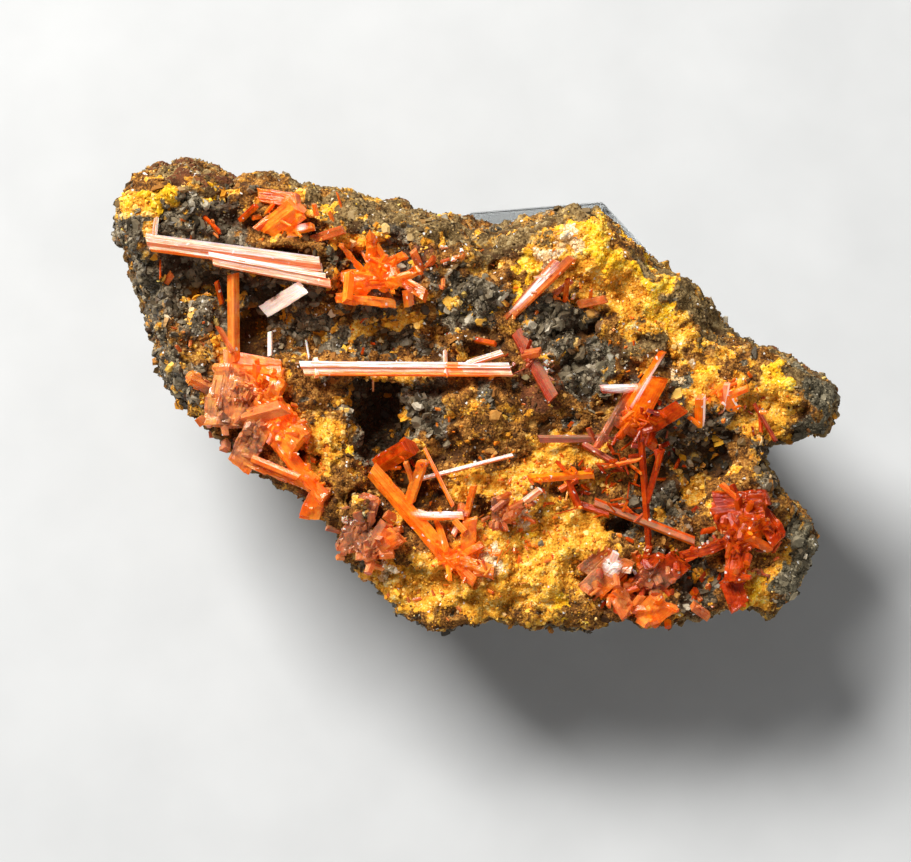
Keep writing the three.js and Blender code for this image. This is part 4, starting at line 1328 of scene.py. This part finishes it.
class StageOperator(bpy.types.Operator):
    """Sets up the camera, the soft lights and the pale floor"""

    bl_idname = "specimen.stage"
    bl_label = "Stage"

    def execute(self, context):
        looks = context.scene.specimen.stage
        camera = bpy.data.cameras.new("camera")
        camera.sensor_width = SENSOR
        camera.lens = EYE_DISTANCE * SENSOR / (PICTURE_WIDTH * PIXEL)
        camera.clip_start = 0.01
        eye = new_object("camera", camera)
        eye.location = on_face(0, 0, EYE_DISTANCE)
        eye.rotation_euler = (TILT, 0, 0)
        context.scene.camera = eye

        area_light("key", looks.key, *KEY_LIGHT)
        area_light("fill", looks.fill, *FILL_LIGHT)
        world = bpy.data.worlds.new("room")
        world.use_nodes = True
        sky = world.node_tree.nodes["Background"]
        sky.inputs["Color"].default_value = SKY_COLOR
        sky.inputs["Strength"].default_value = looks.sky
        context.scene.world = world
        context.scene.view_settings.view_transform = "Standard"

        shape = bmesh.new()
        level = Matrix.Translation((0, 0, -GAP))
        bmesh.ops.create_grid(shape, x_segments=1, y_segments=1, size=FLOOR_SIZE, matrix=level)
        mesh = mesh_of("floor", shape)
        mesh.materials.append(floor_material())
        floor = new_object("floor", mesh)
        return {"FINISHED"}


class BlockOperator(bpy.types.Operator):
    """Makes the clear display block, with polished edges"""

    bl_idname = "specimen.block"
    bl_label = "Display Block"

    def execute(self, context):
        looks = context.scene.specimen.block
        shape = merged_copy("display_block")
        flat_faces(shape)
        bevel(shape, shape.edges, looks.bevel, 2)
        piece = new_piece("clear_block", shape, block_material(looks), "clear_acrylic")
        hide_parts("display_block")
        return {"FINISHED"}


class CrystalsOperator(bpy.types.Operator):
    """Makes the crystals, with lines along their faces"""

    bl_idname = "specimen.crystals"
    bl_label = "Crystals"

    def execute(self, context):
        looks = context.scene.specimen.crystals
        for node in CRYSTAL_NODES:
            slot = NODE_SLOT[node]
            shape = grooved_crystal(node, looks)
            piece = new_piece(f"{node}_crystal", shape, crystal_slot_material(slot, looks), slot)
            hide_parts(node)
        return {"FINISHED"}


class RockOperator(bpy.types.Operator):
    """Makes the rock, with its crumbly, knobbly and pitted zones"""

    bl_idname = "specimen.rock"
    bl_label = "Rock"

    def execute(self, context):
        looks = context.scene.specimen.rock
        shape = rough_rock(looks)
        piece = new_piece("rock", shape, rock_material(looks), "iron_stained_rock")
        for face in piece.data.polygons:
            face.use_smooth = True
        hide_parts("matrix")
        return {"FINISHED"}


# Kinds of grains: how many, of what sizes in millimetres and how many of them small, how far
# they tilt, and the zones that they lie in. They lie on the rock, unless "on" names a piece.
GRAINS = {
    "crumbs": {
        "shapes": crumb_shapes, "count": 4200, "sizes": (0.2, 0.75), "small": 2.0, "tilt": 0.3,
        "zones": {"ochre": 1.0, "yellow": 1.0, "mixed": 0.5, "cream": 1.0}, "seed": 4,
    },
    "fine_crumbs": {
        "shapes": chip_shapes, "count": 17500, "sizes": (0.14, 0.42), "small": 1.5, "tilt": 0.5,
        "zones": {"ochre": 1.0, "yellow": 1.0, "mixed": 1.0, "grey": 0.6, "cream": 1.0}, "seed": 7,
    },
    "brown_crumbs": {
        "shapes": chip_shapes, "count": 15500, "sizes": (0.18, 0.62), "small": 1.8, "tilt": 0.5,
        "zones": {"brown": 1.0}, "seed": 8,
    },
    "dark_flakes": {
        "shapes": flake_shapes, "count": 5000, "sizes": (0.4, 1.7), "small": 2.0, "tilt": 0.6,
        "zones": {"dark": 1.0, "grey": 0.3}, "seed": 5,
    },
    "dark_chips": {
        "shapes": chip_shapes, "count": 11500, "sizes": (0.15, 0.5), "small": 1.5, "tilt": 0.6,
        "zones": {"dark": 1.0, "grey": 1.0}, "seed": 9,
    },
    "druse": {
        "shapes": crumb_shapes, "count": 420, "sizes": (0.25, 0.8), "small": 1.5, "tilt": 0.5,
        "zones": {"sponge": 1.0}, "seed": 3, "on": "brown_lump_crystals_crystal",
    },
}


class GrainsOperator(bpy.types.Operator):
    """Strews crumbs and flakes over the rock"""

    bl_idname = "specimen.grains"
    bl_label = "Grains"

    def execute(self, context):
        material = grain_material()
        for name, kind in GRAINS.items():
            ground = bmesh.new()
            ground.from_mesh(bpy.data.objects[kind.get("on", "rock")].data)
            if "on" in kind:
                ground.normal_update()
                zone_layers(ground)
            shape = scattered(ground, kind, random.Random(kind["seed"]))
            new_piece(name, shape, material, "iron_stained_rock")
            ground.free()
        return {"FINISHED"}


class SmallCrystalsOperator(bpy.types.Operator):
    """Makes the small crystals and splinters between the large ones"""

    bl_idname = "specimen.small_crystals"
    bl_label = "Small Crystals"

    def execute(self, context):
        looks = context.scene.specimen.crystals
        pale = [node for node in CRYSTAL_NODES if NODE_SLOT[node] == "pale_crocoite"]
        rest = [node for node in CRYSTAL_NODES if node not in pale]
        ground = bmesh.new()
        for name in ("rock", *(f"{node}_crystal" for node in rest)):
            ground.from_mesh(bpy.data.objects[name].data)
        rock_tree = BVHTree.FromBMesh(ground)
        for node in pale:
            ground.from_mesh(bpy.data.objects[f"{node}_crystal"].data)
        ground_tree = BVHTree.FromBMesh(ground)
        ground.free()
        for slot in SPLINTERS:
            shape = small_crystals(ground_tree, rock_tree, slot)
            name = f"small_{slot.removesuffix('_crocoite')}_crystals"
            new_piece(name, shape, crystal_slot_material(slot, looks), slot)
        return {"FINISHED"}


class SpecimenPanel(bpy.types.Panel):
    """Lists the specimen's pieces and their looks"""

    bl_idname = "VIEW3D_PT_specimen"
    bl_label = "Specimen"
    bl_space_type = "VIEW_3D"
    bl_region_type = "UI"
    bl_category = "Specimen"

    def draw(self, context):
        settings = context.scene.specimen
        for operator in OPERATORS:
            self.layout.operator(operator.bl_idname)
        for group in (settings.crystals, settings.rock, settings.block, settings.stage):
            box = self.layout.box()
            for name in group.__annotations__:
                box.prop(group, name)


OPERATORS = (
    StageOperator, BlockOperator, CrystalsOperator, RockOperator, GrainsOperator,
    SmallCrystalsOperator,
)
CLASSES = (
    CrystalLooks, RockLooks, BlockLooks, StageLooks, SpecimenSettings, *OPERATORS, SpecimenPanel,
)


def register():
    for one in CLASSES:
        bpy.utils.register_class(one)
    bpy.types.Scene.specimen = bpy.props.PointerProperty(type=SpecimenSettings)


def unregister():
    del bpy.types.Scene.specimen
    for one in reversed(CLASSES):
        bpy.utils.unregister_class(one)


def main():
    register()
    earth_group()
    glint_group()
    streak_group()
    bpy.ops.specimen.stage()
    bpy.ops.specimen.block()
    bpy.ops.specimen.crystals()
    bpy.ops.specimen.rock()
    bpy.ops.specimen.grains()
    bpy.ops.specimen.small_crystals()


if __name__ == "__main__":
    main()
